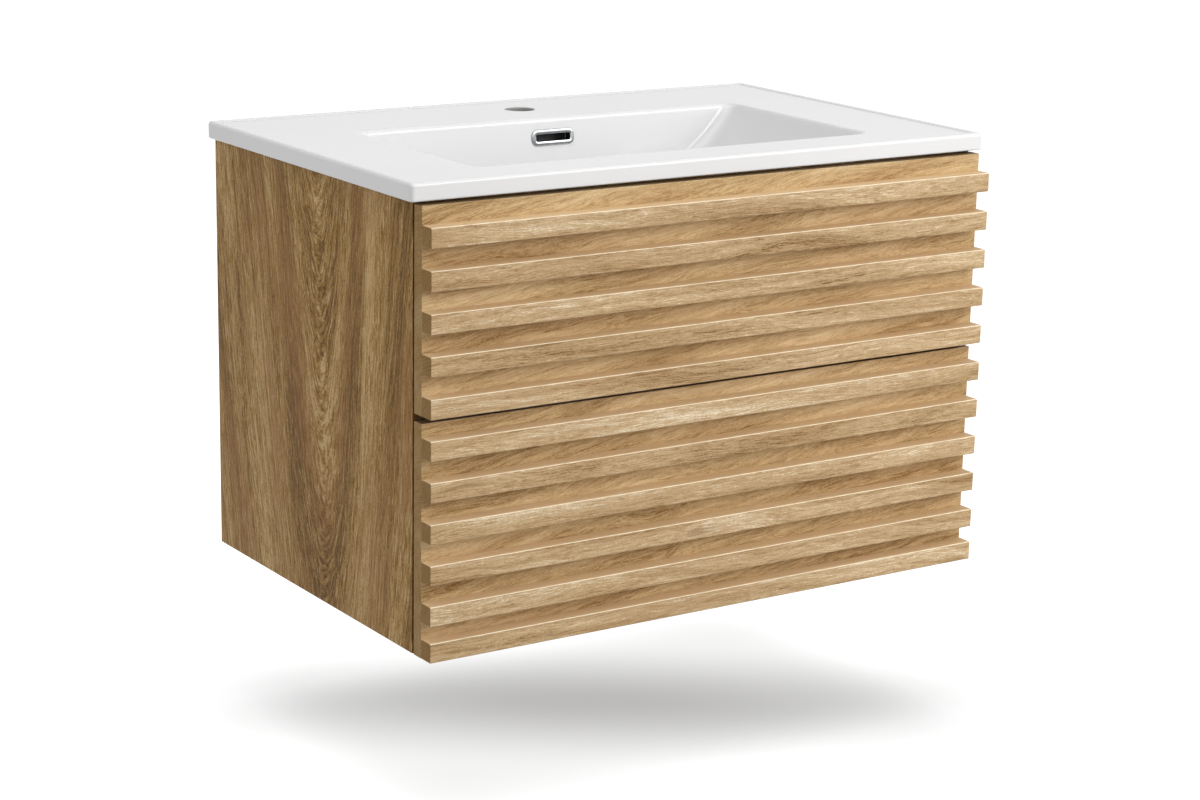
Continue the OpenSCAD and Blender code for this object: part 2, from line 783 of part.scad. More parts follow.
// A bent strip between two members, with a ball in each of its holes
module ball_cage(side, box_z, strip_x, ball_x, ball_z) {
    reach = ball_x + cage_reach - strip_x;
    step = cage_l / balls;
    on_side(side)
        translate([inner_w / 2, runner_back_y - (runner_l - cage_l) / 2, box_z + runner_rise])
            mirror([1, 0, 0]) {
                along_y(0, cage_l) {
                    translate([strip_x - cage_t / 2, -ball_z]) square([cage_t, 2 * ball_z]);
                    for (s = sides)
                        translate([strip_x - cage_t / 2, s * ball_z - cage_t / 2])
                            square([reach + cage_t / 2, cage_t]);
                }
                for (s = sides, k = [1:balls])
                    translate([ball_x, -step * (k - 0.5), s * ball_z]) sphere(ball_r);
            }
}

module outer_ball_cages(box_z) {
    color(steel_colour)
        for (side = sides) ball_cage(side, box_z, outer_cage_x, outer_ball_x, outer_ball_z);
}

module inner_ball_cages(box_z) {
    color(steel_colour)
        for (side = sides) ball_cage(side, box_z, inner_cage_x, inner_ball_x, inner_ball_z);
}

// ---- Drawers ----

module slat(z) {
    edge = slat_edge_r;
    color(oak_front)
        translate([0, front_back_y - front_t, z])
            along_x(cabinet_w) {
                translate([-slat_d + edge, 0]) square([slat_d - edge, slat_h]);
                translate([-slat_d, edge]) square([edge, slat_h - 2 * edge]);
                for (h = [edge, slat_h - edge])
                    translate([-slat_d + edge, h]) circle(edge);
            }
}

module drawer_bottom(z, recess) {
    w = box_inner_w + 2 * groove_d;
    color(box_colour)
        difference() {
            translate([-w / 2, front_back_y - groove_d, z + bottom_rise])
                cube([w, box_back_y - front_back_y + groove_d, bottom_t]);
            if (recess)
                translate([0, 0, z]) linear_extrude(upper_side_h) recess_outline(liner_w, liner_t);
            bottom_screws(z, recess);
        }
}

// Dowels hold the sides to the front from behind, and the backs between the sides
module drawer_dowels(z, h) {
    side_x = (box_w - box_t) / 2;
    low = z + bottom_rise + bottom_t;
    color(beech)
        for (side = sides, k = [1, 3]) {
            height = low + (z + h - low) * k / 4;
            translate([side * side_x, front_back_y - dowel_in, height])
                rotate([-90, 0, 0]) cylinder(h = dowel_l, r = dowel_r);
            on_side(side)
                translate([box_inner_w / 2 + dowel_in - dowel_l, box_back_y - box_t / 2, height])
                    rotate([0, 90, 0]) cylinder(h = dowel_l, r = dowel_r);
        }
}

// Screws from below through the drawer bottom into the back
module bottom_screws(z, recess) {
    nearest = recess ? liner_w / 2 : 0;
    span = box_inner_w / 2 - nearest;
    for (side = sides, k = [1, 3])
        translate([side * (nearest + span * k / 4), box_back_y - box_t / 2, z + bottom_rise])
            mirror([0, 0, 1]) countersunk(bottom_screw_l);
}

module drawer_screws(z, recess) {
    color(steel_colour) {
        bottom_screws(z, recess);
        for (side = sides) slim_screws(side, z, screw_l);
    }
}

module front_panel(z, height, box_z, box_h) {
    color(oak_front)
        difference() {
            translate([-cabinet_w / 2, front_back_y - front_t, z]) cube([cabinet_w, front_t, height]);
            drawer_bottom(box_z, false);
            drawer_dowels(box_z, box_h);
        }
}

module drawer_side(side, z, h) {
    color(box_colour)
        difference() {
            on_side(side)
                translate([box_inner_w / 2, front_back_y, z])
                    cube([box_t, box_back_y - front_back_y, h]);
            drawer_bottom(z, false);
            drawer_dowels(z, h);
            slim_screws(side, z, screw_l);
        }
}

// A back board from one x to another, standing on the drawer bottom
module drawer_back(from, to, z, h, recess) {
    low = bottom_rise + bottom_t;
    color(box_colour)
        difference() {
            translate([from, box_back_y - box_t, z + low]) cube([to - from, box_t, h - low]);
            drawer_dowels(z, h);
            bottom_screws(z, recess);
        }
}

// The recess seen from above, open at the drawer's back, with its depth grown by a wall
module recess_outline(w, wall) {
    depth = recess_d + wall;
    translate([0, box_back_y - depth])
        union() {
            translate([-w / 2, recess_r]) square([w, depth - recess_r + cut]);
            translate([-w / 2 + recess_r, 0]) square([w - 2 * recess_r, depth]);
            for (s = sides) translate([s * (w / 2 - recess_r), recess_r]) circle(recess_r);
        }
}

// A U-shaped wall round the trap, with a foot that lies on the drawer bottom
module recess_liner() {
    foot_z = upper_box_z + bottom_rise + bottom_t;
    foot = liner_t + liner_foot_w;
    color(plastic_grey)
        difference() {
            union() {
                translate([0, 0, upper_box_z + bottom_rise])
                    linear_extrude(upper_side_h - bottom_rise) recess_outline(liner_w, liner_t);
                translate([0, 0, foot_z]) linear_extrude(liner_foot_t)
                    recess_outline(recess_w + 2 * foot, foot);
            }
            translate([0, 0, upper_box_z]) linear_extrude(upper_side_h + cut) recess_outline(recess_w, 0);
            translate([-cabinet_w / 2, box_back_y, upper_box_z])
                cube([cabinet_w, 2 * cut, upper_side_h + cut]);
            for (side = sides)
                on_side(side) translate([liner_w / 2, box_back_y - box_t, upper_box_z])
                    cube([foot, box_t + cut, upper_side_h]);
        }
}

// ---- All pieces ----

function left_right(name) = name == "left" ? -1 : 1;

for (s = ["left", "right"]) {
    side = left_right(s);
    hung() side_panel(side);
    hung() wall_plate(side);
    hung() hanger(side);
    hung() runner_fixed(side, upper_box_z);
    hung() runner_fixed(side, lower_box_z);
    hung() runner_middle(side, upper_box_z);
    hung() runner_middle(side, lower_box_z);
    hung() runner_slim(side, upper_box_z);
    hung() runner_slim(side, lower_box_z);
    hung() drawer_side(side, upper_box_z, upper_side_h);
    hung() drawer_side(side, lower_box_z, lower_side_h);
}
hung() bottom_panel();
hung() front_rail();
hung() back_rail_top();
hung() back_rail_bottom();
hung() carcase_dowels();
hung() front_pads();
hung() basin();
hung() overflow_ring();
hung() hanger_hooks();
hung() hanger_screws();
hung() runner_screws();
hung() outer_ball_cages(upper_box_z);  // upper_outer_ball_cages
hung() inner_ball_cages(upper_box_z);  // upper_inner_ball_cages
hung() outer_ball_cages(lower_box_z);  // lower_outer_ball_cages
hung() inner_ball_cages(lower_box_z);  // lower_inner_ball_cages
hung() front_panel(upper_front_z, upper_front_h, upper_box_z, upper_side_h);  // upper_front_panel
for (i = [1:upper_slats])
    hung() slat(upper_front_z + (upper_slats - i) * upper_pitch);
hung() drawer_bottom(upper_box_z, true);  // upper_drawer_bottom
hung() drawer_back(-box_inner_w / 2, -liner_w / 2, upper_box_z, upper_side_h, true);  // upper_drawer_back_left
hung() drawer_back(liner_w / 2, box_inner_w / 2, upper_box_z, upper_side_h, true);  // upper_drawer_back_right
hung() recess_liner();  // upper_recess_liner
hung() drawer_dowels(upper_box_z, upper_side_h);  // upper_drawer_dowels
hung() drawer_screws(upper_box_z, true);  // upper_drawer_screws
hung() front_panel(0, lower_front_h, lower_box_z, lower_side_h);  // lower_front_panel
for (i = [1:lower_slats])
    hung() slat(i == lower_slats ? 0 : lowest_pitch + (lower_slats - 1 - i) * lower_pitch);
hung() drawer_bottom(lower_box_z, false);  // lower_drawer_bottom
hung() drawer_back(-box_inner_w / 2, box_inner_w / 2, lower_box_z, lower_side_h, false);  // lower_drawer_back
hung() drawer_dowels(lower_box_z, lower_side_h);  // lower_drawer_dowels
hung() drawer_screws(lower_box_z, false);  // lower_drawer_screws
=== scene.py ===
# %% [markdown]
# # A wall-hung oak vanity, dressed for its picture
#
# The cabinet comes from CAD as a fixed frame: every board, runner and screw already has its size
# and place. This lesson gives the frame its looks. We build soft-edged boards, a cast basin and a
# polished ring as numpy surfaces, mix an oak, a glaze and some metals from nodes, and light it all
# like a plain studio picture. Lengths are metres; X runs to the right, +Y into the wall, Z up.

# %% Load the frame
import json
import math

import bmesh
import bpy
import numpy as np
from mathutils import Matrix, Vector

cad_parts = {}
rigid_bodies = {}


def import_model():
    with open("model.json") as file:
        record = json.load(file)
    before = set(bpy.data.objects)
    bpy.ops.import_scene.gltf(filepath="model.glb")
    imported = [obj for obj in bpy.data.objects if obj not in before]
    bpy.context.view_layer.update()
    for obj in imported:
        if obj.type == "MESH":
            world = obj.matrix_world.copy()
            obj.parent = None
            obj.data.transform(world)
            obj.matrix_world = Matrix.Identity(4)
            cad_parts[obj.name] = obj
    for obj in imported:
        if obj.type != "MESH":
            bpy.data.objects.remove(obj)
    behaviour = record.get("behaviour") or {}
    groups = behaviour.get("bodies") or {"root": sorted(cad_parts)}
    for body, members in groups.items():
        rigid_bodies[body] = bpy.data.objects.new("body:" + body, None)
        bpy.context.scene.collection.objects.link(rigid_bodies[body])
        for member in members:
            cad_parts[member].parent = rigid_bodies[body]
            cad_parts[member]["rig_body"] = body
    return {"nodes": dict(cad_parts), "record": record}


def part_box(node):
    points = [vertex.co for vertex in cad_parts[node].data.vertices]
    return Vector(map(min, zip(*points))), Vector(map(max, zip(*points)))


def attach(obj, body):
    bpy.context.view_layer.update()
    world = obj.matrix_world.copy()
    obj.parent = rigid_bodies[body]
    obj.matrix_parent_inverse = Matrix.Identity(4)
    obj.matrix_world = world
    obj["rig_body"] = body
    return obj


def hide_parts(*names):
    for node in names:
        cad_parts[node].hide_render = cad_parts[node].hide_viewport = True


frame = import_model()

MM = 0.001
scene = bpy.context.scene
nodes = frame["nodes"]
slots = {row["node"]: row["material_slot"] for row in frame["record"]["subparts"]}
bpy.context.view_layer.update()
rng = np.random.default_rng(11)

# %% [markdown]
# ## The camera
#
# The picture was taken from the left, a little above the basin, with a long lens, so the slats
# hardly run together. Its place could be found by trial, but straight edges fix it better, and a
# fit to them gave the numbers below. We turn them into a rotation by building the camera's three
# axes ourselves, which keeps the small roll.

# %% Camera
EYE = Vector((-1.764, -2.936, 0.561))
yaw, pitch, roll = (math.radians(degrees) for degrees in (33.40, 14.22, 1.08))
ahead = Vector((math.sin(yaw) * math.cos(pitch), math.cos(yaw) * math.cos(pitch), -math.sin(pitch)))
level = Vector((math.cos(yaw), -math.sin(yaw), 0))
above = level.cross(ahead)
across = level * math.cos(roll) + above * math.sin(roll)
upward = above * math.cos(roll) - level * math.sin(roll)

lens = bpy.data.cameras.new("camera")
lens.sensor_width = 36
lens.lens = 83.03
camera = bpy.data.objects.new("camera", lens)
scene.collection.objects.link(camera)
axes = Matrix((across, upward, -ahead)).transposed()
camera.matrix_world = Matrix.Translation(EYE) @ axes.to_4x4()
scene.camera = camera
scene.view_settings.view_transform = "Standard"
print("camera at", [round(x, 3) for x in EYE], "lens", lens.lens)

# %% [markdown]
# ## Small helpers for surfaces
#
# Every new piece is a grid of points worked out as whole arrays. A grid needs only one more thing,
# its quads, and those follow from counting rows and columns. A closed surface shows which way it
# faces by its signed volume, so we turn the quads round where that comes out negative.


# %% Grids
def grid_quads(rows, columns, ring=False):
    """Quads of a grid: (i, j), (i+1, j), (i+1, j+1), (i, j+1), the columns joined up if ring."""
    last = columns if ring else columns - 1
    i, j = np.meshgrid(np.arange(rows - 1), np.arange(last), indexing="ij")
    k = (j + 1) % columns
    corners = [i * columns + j, (i + 1) * columns + j, (i + 1) * columns + k, i * columns + k]
    return np.stack(corners, -1).reshape(-1, 4)


def looped_quads(rows, columns):
    """Quads of a grid that is joined up both ways: its last row also meets its first."""
    j = np.arange(columns)
    k = (j + 1) % columns
    last = (rows - 1) * columns
    seam = np.stack([last + j, j, k, last + k], 1)
    return np.concatenate([grid_quads(rows, columns, ring=True), seam])


def outward(points, quads):
    """Turns the quads round if the volume they close, a sum of cones, comes out negative."""
    a, b, c, d = (points[quads[:, k]] for k in range(4))
    volume = np.einsum("ij,ij->i", a, np.cross(b, c) + np.cross(c, d)).sum() / 6
    return quads[:, ::-1] if volume < 0 else quads


print("a ring of 3 by 4 points has", len(grid_quads(3, 4, ring=True)), "quads")

# %% [markdown]
# A piece is a mesh object at the origin, as the CAD nodes are. Finishes read some numbers from the
# mesh itself, such as where an arris gets wear and a painted highlight, and these are kept as
# attributes. When a piece is done it rides on the body of the CAD node that it stands for.


# %% Pieces
def new_piece(name, points, quads, sharp=None):
    """A smooth mesh object at the origin; edges sharper than sharp degrees stay creases."""
    mesh = bpy.data.meshes.new(name)
    mesh.from_pydata(np.asarray(points, float).tolist(), [], np.asarray(quads).tolist())
    mesh.shade_smooth()
    if sharp:
        mesh.set_sharp_from_angle(angle=math.radians(sharp))
    piece = bpy.data.objects.new(name, mesh)
    scene.collection.objects.link(piece)
    return piece


def coordinates(mesh, what="co"):
    """One row of x, y, z for each point of a mesh: its place, or its normal."""
    flat = np.empty(len(mesh.vertices) * 3)
    mesh.vertices.foreach_get(what, flat)
    return flat.reshape(-1, 3)


def mark(mesh, name, values, domain="POINT"):
    """Keeps a number for each point or face as an attribute that a finish can read."""
    mesh.attributes.new(name, "FLOAT", domain).data.foreach_set("value", values)


def settle(piece):
    """Gives the piece the mesh that its modifiers make, and takes the modifiers off."""
    bpy.context.view_layer.update()
    ready = piece.evaluated_get(bpy.context.evaluated_depsgraph_get())
    made = bpy.data.meshes.new_from_object(ready)
    raw, piece.data = piece.data, made
    piece.modifiers.clear()
    bpy.data.meshes.remove(raw)
    made.name = piece.name


def stand_for(piece, node, finish):
    """The piece takes the place of a CAD node: it rides on the node's body, the node is hidden, and
    the piece takes a finish if one is given.
    """
    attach(piece, nodes[node]["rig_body"])
    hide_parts(node)
    if finish:
        piece.data.materials.clear()
        piece.data.materials.append(finish)


print("helpers: new_piece, coordinates, mark, settle, stand_for")

# %% [markdown]
# ## Small helpers for finishes
#
# A finish is a tree of nodes. Written out in full it would hide the idea, so short functions add a
# node and do arithmetic. Colours are given as eight-bit numbers and turned into the linear values
# that light needs.


# %% Node helpers
def tone(red, green, blue):
    """Linear colour of an eight-bit one: v / 12.92 if dark, else ((v + 0.055) / 1.055) ** 2.4."""
    v = np.array([red, green, blue]) / 255
    linear = np.where(v <= 0.04045, v / 12.92, ((v + 0.055) / 1.055) ** 2.4)
    return (*linear.tolist(), 1.0)


def plug(tree, value, socket):
    """Links a socket, or writes a plain value."""
    if isinstance(value, bpy.types.NodeSocket):
        tree.links.new(value, socket)
    else:
        socket.default_value = value


def feed(tree, sockets, values):
    """Plugs values into sockets in their order."""
    for socket, value in zip(sockets, values):
        plug(tree, value, socket)


def node_of(tree, kind, options=None, **inputs):
    """Adds one node; options are its settings, inputs its sockets by name."""
    node = tree.nodes.new("ShaderNode" + kind)
    for key, value in (options or {}).items():
        setattr(node, key, value)
    for key, value in inputs.items():
        plug(tree, value, node.inputs[key.replace("_", " ")])
    return node


def sums(tree, operation, *values):
    """Arithmetic on numbers, with the result kept between 0 and 1 where the name ends in _01."""
    node = node_of(tree, "Math", {"operation": operation.removesuffix("_01")})
    node.use_clamp = operation.endswith("_01")
    feed(tree, node.inputs, values)
    return node.outputs[0]


def vectors(tree, operation, *values):
    """Arithmetic on vectors; the result is a vector, or a number for a length."""
    node = node_of(tree, "VectorMath", {"operation": operation})
    feed(tree, node.inputs, values)
    return node.outputs["Value" if operation == "LENGTH" else "Vector"]


def marked(tree, name):
    """The number that mark() kept on the mesh under this name."""
    return node_of(tree, "Attribute", {"attribute_name": name}).outputs["Fac"]


print("an eight-bit 128 is", round(tone(128, 128, 128)[0], 3), "in linear light")

# %% [markdown]
# Natural materials are never one colour, so nearly every number of a finish is led by a noise. It
# is stretched to the marks of the material: many cells per metre make a fine pattern, and few
# along one axis make streaks. A soft step then picks how much of the noise shows.


# %% Noise and mixing
def stretched_noise(tree, place, per_metre, detail, rough=0.5):
    """Noise with so many cells per metre, one number or one for each axis: its value and colour."""
    cells = np.broadcast_to(per_metre, 3).tolist()
    spread = node_of(tree, "Mapping", Vector=place, Scale=cells)
    noise = node_of(tree, "TexNoise", Vector=spread.outputs[0], Scale=1.0, Detail=detail,
                    Roughness=rough)
    return noise.outputs[0], noise.outputs[1]


def between(tree, value, low, high, start=0.0, end=1.0):
    """start where value is at most low, end where it is at least high, a soft step between."""
    node = node_of(tree, "MapRange", {"interpolation_type": "SMOOTHSTEP"})
    feed(tree, node.inputs, (value, low, high, start, end))
    return node.outputs[0]


def blend_tones(tree, share, first, second):
    """first where share is 0, second where it is 1."""
    node = node_of(tree, "Mix", {"data_type": "RGBA"})
    feed(tree, [node.inputs[k] for k in (0, 6, 7)], (share, first, second))
    return node.outputs[2]


def tones_along(tree, value, stops):
    """A ramp: each stop is a place from 0 to 1 and a colour."""
    node = node_of(tree, "ValToRGB")
    ramp = node.color_ramp
    ramp.elements[0].position, ramp.elements[0].color = stops[0]
    ramp.elements[1].position, ramp.elements[1].color = stops[-1]
    for place, colour in stops[1:-1]:
        ramp.elements.new(place).color = colour
    plug(tree, value, node.inputs[0])
    return node.outputs[0]


def new_finish(name):
    """A material with a principled shader: material, tree, shader."""
    material = bpy.data.materials.new(name)
    material.use_nodes = True
    tree = material.node_tree
    shader = next(n for n in tree.nodes if n.type == "BSDF_PRINCIPLED")
    return material, tree, shader


def relief(tree, shader, height, depth, strength):
    """Fine relief from a height of 0 to 1 that stands for so many metres."""
    bump = node_of(tree, "Bump", Height=height, Distance=depth, Strength=strength)
    tree.links.new(bump.outputs[0], shader.inputs["Normal"])


def coat(tree, shader, colour, rough):
    """Gives the shader its colour and its roughness."""
    tree.links.new(colour, shader.inputs["Base Color"])
    tree.links.new(rough, shader.inputs["Roughness"])


print("helpers: stretched_noise, between, blend_tones, tones_along, relief, coat")

# %% [markdown]
# ## Oak
#
# Oak is a ring-porous wood: each year starts with a line of open pores, which a saw cuts into short
# dark dashes, and ends in dense, paler wood. A picture of oak could be wrapped on, but a solid
# pattern is better here, because it runs on round the arrises and shows rings on the end faces.
# So every board carries an attribute called grain, its own place in an imaginary log: along the
# trunk, across it and through it. Rings are circles round the log's heart, bent by a slow noise;
# fibres and pores are noises stretched ten to thirty times along the trunk.

# %% Layers of oak
# Each layer of the figure: cells per metre along the trunk, cells across it, detail, roughness.
LAYERS = {"broad": (3.0, 30.0, 1.6, 0.5), "streak": (7.0, 230.0, 2.0, 0.5),
          "hair": (36.0, 900.0, 1.5, 0.55), "dust": (320.0, 1100.0, 1.0, 0.5),
          "dash": (60.0, 650.0, 0.5, 0.5), "stain": (8.0, 85.0, 1.0, 0.5),
          "warmth": (4.0, 24.0, 1.0, 0.5)}


def layer(tree, place, name, length=1.0):
    """One layer of the figure; length stretches its cells along the trunk."""
    along, across, detail, rough = LAYERS[name]
    return stretched_noise(tree, place, (along / length, across, across), detail, rough)[0]


def bent_by(tree, place, along, across, reach):
    """The place moved sideways by a noise of so many cells per metre, by up to half of reach."""
    noise = stretched_noise(tree, place, (along, across, across), 2.0)[1]
    centred = vectors(tree, "SUBTRACT", noise, (0.5, 0.5, 0.5))
    return vectors(tree, "MULTIPLY_ADD", centred, (0.0, reach, reach), place)


def arched(tree, place, taper):
    """Flat-sawn figure: the distance from the heart, less the log's taper, so lines form arches."""
    slope = 0.11  # what is left of the place across, so that fibres stay apart
    parts = node_of(tree, "SeparateXYZ", Vector=place)
    along, across, through = (parts.outputs[k] for k in range(3))
    squares = sums(tree, "MULTIPLY_ADD", through, through, sums(tree, "MULTIPLY", across, across))
    ring = sums(tree, "MULTIPLY_ADD", along, -taper, sums(tree, "SQRT", squares))
    apart = sums(tree, "MULTIPLY", across, slope)
    return node_of(tree, "CombineXYZ", X=along, Y=ring, Z=apart).outputs[0]


def year_rings(tree, place):
    """Early wood, 1 where a ring starts, and the fine lines of an end face, both from the heart."""
    years, end_waves, drawn_out = 150.0, 2600.0, 0.03
    heart = vectors(tree, "LENGTH", vectors(tree, "MULTIPLY", place, (drawn_out, 1.0, 1.0)))
    season = sums(tree, "FRACT", sums(tree, "MULTIPLY", heart, years))
    rise, fall = between(tree, season, 0.0, 0.2), between(tree, season, 0.2, 0.8, 1.0, 0.0)
    wave = sums(tree, "SINE", sums(tree, "MULTIPLY", heart, end_waves))
    return sums(tree, "MULTIPLY", rise, fall), between(tree, wave, -0.2, 0.9)


print("layers of oak:", ", ".join(LAYERS))

# %% [markdown]
# The layers are added up to one value, a ramp of four tones turns it into colour, and pores and
# stains darken it. Three more attributes steer the mix. The first marks the rounded arrises, which
# are blended lighter: partly wear, partly a painted highlight. The second marks the narrow faces,
# which get a tone of their own: painted light on the slats' tops, and painted shade on the narrow
# faces of fronts and sides that sit in the gaps. The last marks the end faces, which drink more oil
# and go dark.


# %% Oak finish
def oak(name, tones, painted_face_tone, sway, bands, streaks, fine, ring_share=0.5, length=1.0, worn_highlight_share=1.0,
        taper=0.0, warm=0.3):
    """Oak in four tones from dark to pale; sway bends the fibres, the shares set the contrast."""
    material, tree, shader = new_finish(name)
    place = node_of(tree, "Attribute", {"attribute_name": "grain"}).outputs["Vector"]
    if taper:
        place = arched(tree, place, taper)
    bent = bent_by(tree, place, 5.0 / length, 14.0, 0.014 * sway)
    bent = bent_by(tree, bent, 32.0, 120.0, 0.003)
    early, close_rings = year_rings(tree, bent)
    broad, streak = layer(tree, bent, "broad", length), layer(tree, bent, "streak", length)
    hair, dust = layer(tree, bent, "hair"), layer(tree, place, "dust")

    value = 0.55
    for part, weight in ((streak, 0.75 * streaks), (hair, 0.8 * fine), (dust, 0.45 * fine),
                         (broad, 1.5 * bands)):
        value = sums(tree, "MULTIPLY_ADD", sums(tree, "SUBTRACT", part, 0.5), weight, value)
    value = sums(tree, "MULTIPLY_ADD_01", early, -0.25 * ring_share, value)
    colour = tones_along(tree, value, list(zip((0.0, 0.34, 0.66, 1.0), tones)))
    warmth = between(tree, layer(tree, bent, "warmth"), 0.42, 0.66, 0.0, 0.5)
    colour = blend_tones(tree, sums(tree, "MULTIPLY", warmth, warm), colour, tone(150, 104, 58))

    dash = between(tree, layer(tree, bent, "dash"), 0.66, 0.78)
    pores = sums(tree, "MULTIPLY", dash, between(tree, streak, 0.62, 0.40))
    stains = between(tree, layer(tree, bent, "stain"), 0.70, 0.82)
    shade = sums(tree, "MULTIPLY", pores, sums(tree, "MULTIPLY_ADD", early, 0.25, 0.45))
    shade = sums(tree, "MULTIPLY_ADD_01", stains, 0.4, shade)
    colour = blend_tones(tree, shade, colour, tones[0])
    # Painted light and shade on the narrow faces: the slats' tops get a lighter tone, and the
    # narrow faces of fronts and sides in the gaps get a dark one.
    colour = blend_tones(tree, sums(tree, "MULTIPLY", marked(tree, "painted_faces"), 0.75), colour, painted_face_tone)
    end_tone = blend_tones(tree, close_rings, tone(134, 97, 26), tone(116, 82, 18))
    colour = blend_tones(tree, sums(tree, "MULTIPLY", marked(tree, "ends"), 0.85), colour, end_tone)
    # Painted highlight and wear on the arrises: they are blended towards the palest tone and made a
    # little smoother.
    worn_and_lit = sums(tree, "MULTIPLY", between(tree, marked(tree, "edge"), 0.02, 0.4),
                between(tree, hair, 0.3, 0.6, 0.6, 1.0))
    colour = blend_tones(tree, sums(tree, "MULTIPLY", worn_and_lit, worn_highlight_share), colour, tones[-1])

    rough = between(tree, hair, 0.3, 0.7, 0.58, 0.46)
    coat(tree, shader, colour, sums(tree, "MULTIPLY_ADD_01", worn_and_lit, -0.12, rough))
    shader.inputs["Specular IOR Level"].default_value = 0.15
    height = sums(tree, "MULTIPLY_ADD", streak, 0.5, hair)
    relief(tree, shader, sums(tree, "MULTIPLY_ADD", pores, -0.8, height), 0.2 * MM, 0.5)
    return material


print("an oak is mixed from", len(LAYERS), "layers")

# %% [markdown]
# The cabinet has three kinds of oak: straight, pale wood in the slats, a broader and darker veneer
# on the fronts behind them, and on the sides the arches of a flat-sawn log. Three functions would
# repeat themselves, so one with other shares makes all three.

# %% Oak mixes
front_oak = oak(
    "oak_front_oiled", painted_face_tone=tone(222, 191, 148), sway=1.8, bands=0.65, streaks=0.4, fine=1.3,
    tones=(tone(116, 82, 42), tone(177, 147, 106), tone(204, 176, 137), tone(246, 232, 204)))
panel_oak = oak(
    "oak_panel_oiled", painted_face_tone=tone(58, 40, 22), sway=3.0, bands=0.85, streaks=0.8, fine=1.5,
    tones=(tone(134, 100, 56), tone(180, 150, 106), tone(204, 175, 131), tone(222, 198, 158)),
    worn_highlight_share=0.35)
# The sides' oak is darker than the fronts' partly as painted shade, because the side faces away
# from the key lamp.
side_oak = oak(
    "oak_side_oiled", painted_face_tone=tone(66, 46, 24), sway=3.0, bands=1.05, streaks=1.3, fine=2.4,
    tones=(tone(88, 58, 8), tone(137, 100, 39), tone(167, 131, 75), tone(204, 172, 122)),
    ring_share=0.3, length=2.2, worn_highlight_share=0.2, taper=0.14, warm=0.8)
print("oak finishes:", front_oak.name, panel_oak.name, side_oak.name)

# %% [markdown]
# ## Glaze
#
# The basin is fired clay under white glaze. The glaze isn't a flat white: it is painted greyer in
# the bowl as painted shade, is thinner and a trace warmer on the rims, and has long shallow waves
# that a reflection shows. One attribute is 1 in the bowl, where that shade is painted, and edge is
# 1 where the surface turns sharply.


# %% Glaze
def on_object(tree):
    """Object coordinates: a point's place in the frame."""
    return node_of(tree, "TexCoord").outputs["Object"]


def glaze(name):
    """White glaze: two near whites by a slow noise, then the bowl's painted shade of grey and the
    rims' tone.
    """
    material, tree, shader = new_finish(name)
    place = on_object(tree)
    slow = between(tree, stretched_noise(tree, place, 7.0, 2.0)[0], 0.35, 0.65)
    colour = blend_tones(tree, slow, (0.80, 0.802, 0.805, 1), (0.78, 0.78, 0.78, 1))
    # Painted shade: the bowl is a darker grey than the deck.
    colour = blend_tones(tree, marked(tree, "painted_bowl_shade"), colour, (0.75, 0.75, 0.75, 1))
    thin = sums(tree, "MULTIPLY", marked(tree, "edge"), 0.35)
    colour = blend_tones(tree, thin, colour, (0.76, 0.755, 0.745, 1))
    speck = stretched_noise(tree, place, 900.0, 1.0)[0]
    coat(tree, shader, colour, between(tree, speck, 0.3, 0.75, 0.07, 0.13))
    relief(tree, shader, stretched_noise(tree, place, 28.0, 1.0)[0], 0.08 * MM, 0.6)
    return material


white_glaze = glaze("white_glaze")
print("glaze:", white_glaze.name)

# %% [markdown]
# ## Metals and matt finishes
#
# Chrome and zinc differ in their roughness, and zinc-plated strip has rolling marks along it.
# Plastic housings have a fine moulded grain, and the drawer boxes are faced with a paper that has a
# linen print. The glaze doesn't reach the inside of the holes, so the tap hole shows bare clay,
# made a darker grey as painted shade in the bore, and the water way is painted near black as
# painted shade.


# %% Metal and matt
def metal(name, first, second, cells, rough, depth):
    """Metal: two tones in clouds; roughness and relief have cells that follow the working marks."""
    material, tree, shader = new_finish(name)
    place = on_object(tree)
    marks = stretched_noise(tree, place, cells, 3.0, 0.6)[0]
    cloud = stretched_noise(tree, place, 60.0, 2.0)[0]
    colour = blend_tones(tree, between(tree, cloud, 0.35, 0.65), first, second)
    # Painted shade: where a mesh marks it, the metal is blended towards near black.
    painted_slot_shade = sums(tree, "MULTIPLY", marked(tree, "painted_slot_shade"), 0.85)
    colour = blend_tones(tree, painted_slot_shade, colour, (0.09, 0.09, 0.092, 1))
    coat(tree, shader, colour, between(tree, marks, 0.3, 0.7, *rough))
    shader.inputs["Metallic"].default_value = 1.0
    relief(tree, shader, marks, depth, 0.5)
    return material


def matt(name, first, second, cells, rough, depth, see_through=0.0):
    """Matt finish: two tones by a noise, and a fine relief with so many cells per metre."""
    material, tree, shader = new_finish(name)
    place = on_object(tree)
    cloud = stretched_noise(tree, place, 22.0, 3.0)[0]
    fine = stretched_noise(tree, place, cells, 2.0, 0.6)[0]
    mixed = sums(tree, "MULTIPLY_ADD", sums(tree, "SUBTRACT", fine, 0.5), 1.2, cloud)
    colour = blend_tones(tree, between(tree, mixed, 0.2, 0.8), first, second)
    coat(tree, shader, colour, between(tree, fine, 0.3, 0.7, *rough))
    shader.inputs["Transmission Weight"].default_value = see_through
    relief(tree, shader, fine, depth, 0.5)
    return material


chrome = metal("polished_chrome", (0.50, 0.51, 0.52, 1), (0.42, 0.43, 0.45, 1),
               500.0, (0.05, 0.12), 0.01 * MM)
zinc = metal("zinc_plated_strip", (0.50, 0.52, 0.54, 1), (0.41, 0.43, 0.46, 1),
             (900.0, 30.0, 900.0), (0.26, 0.42), 0.03 * MM)
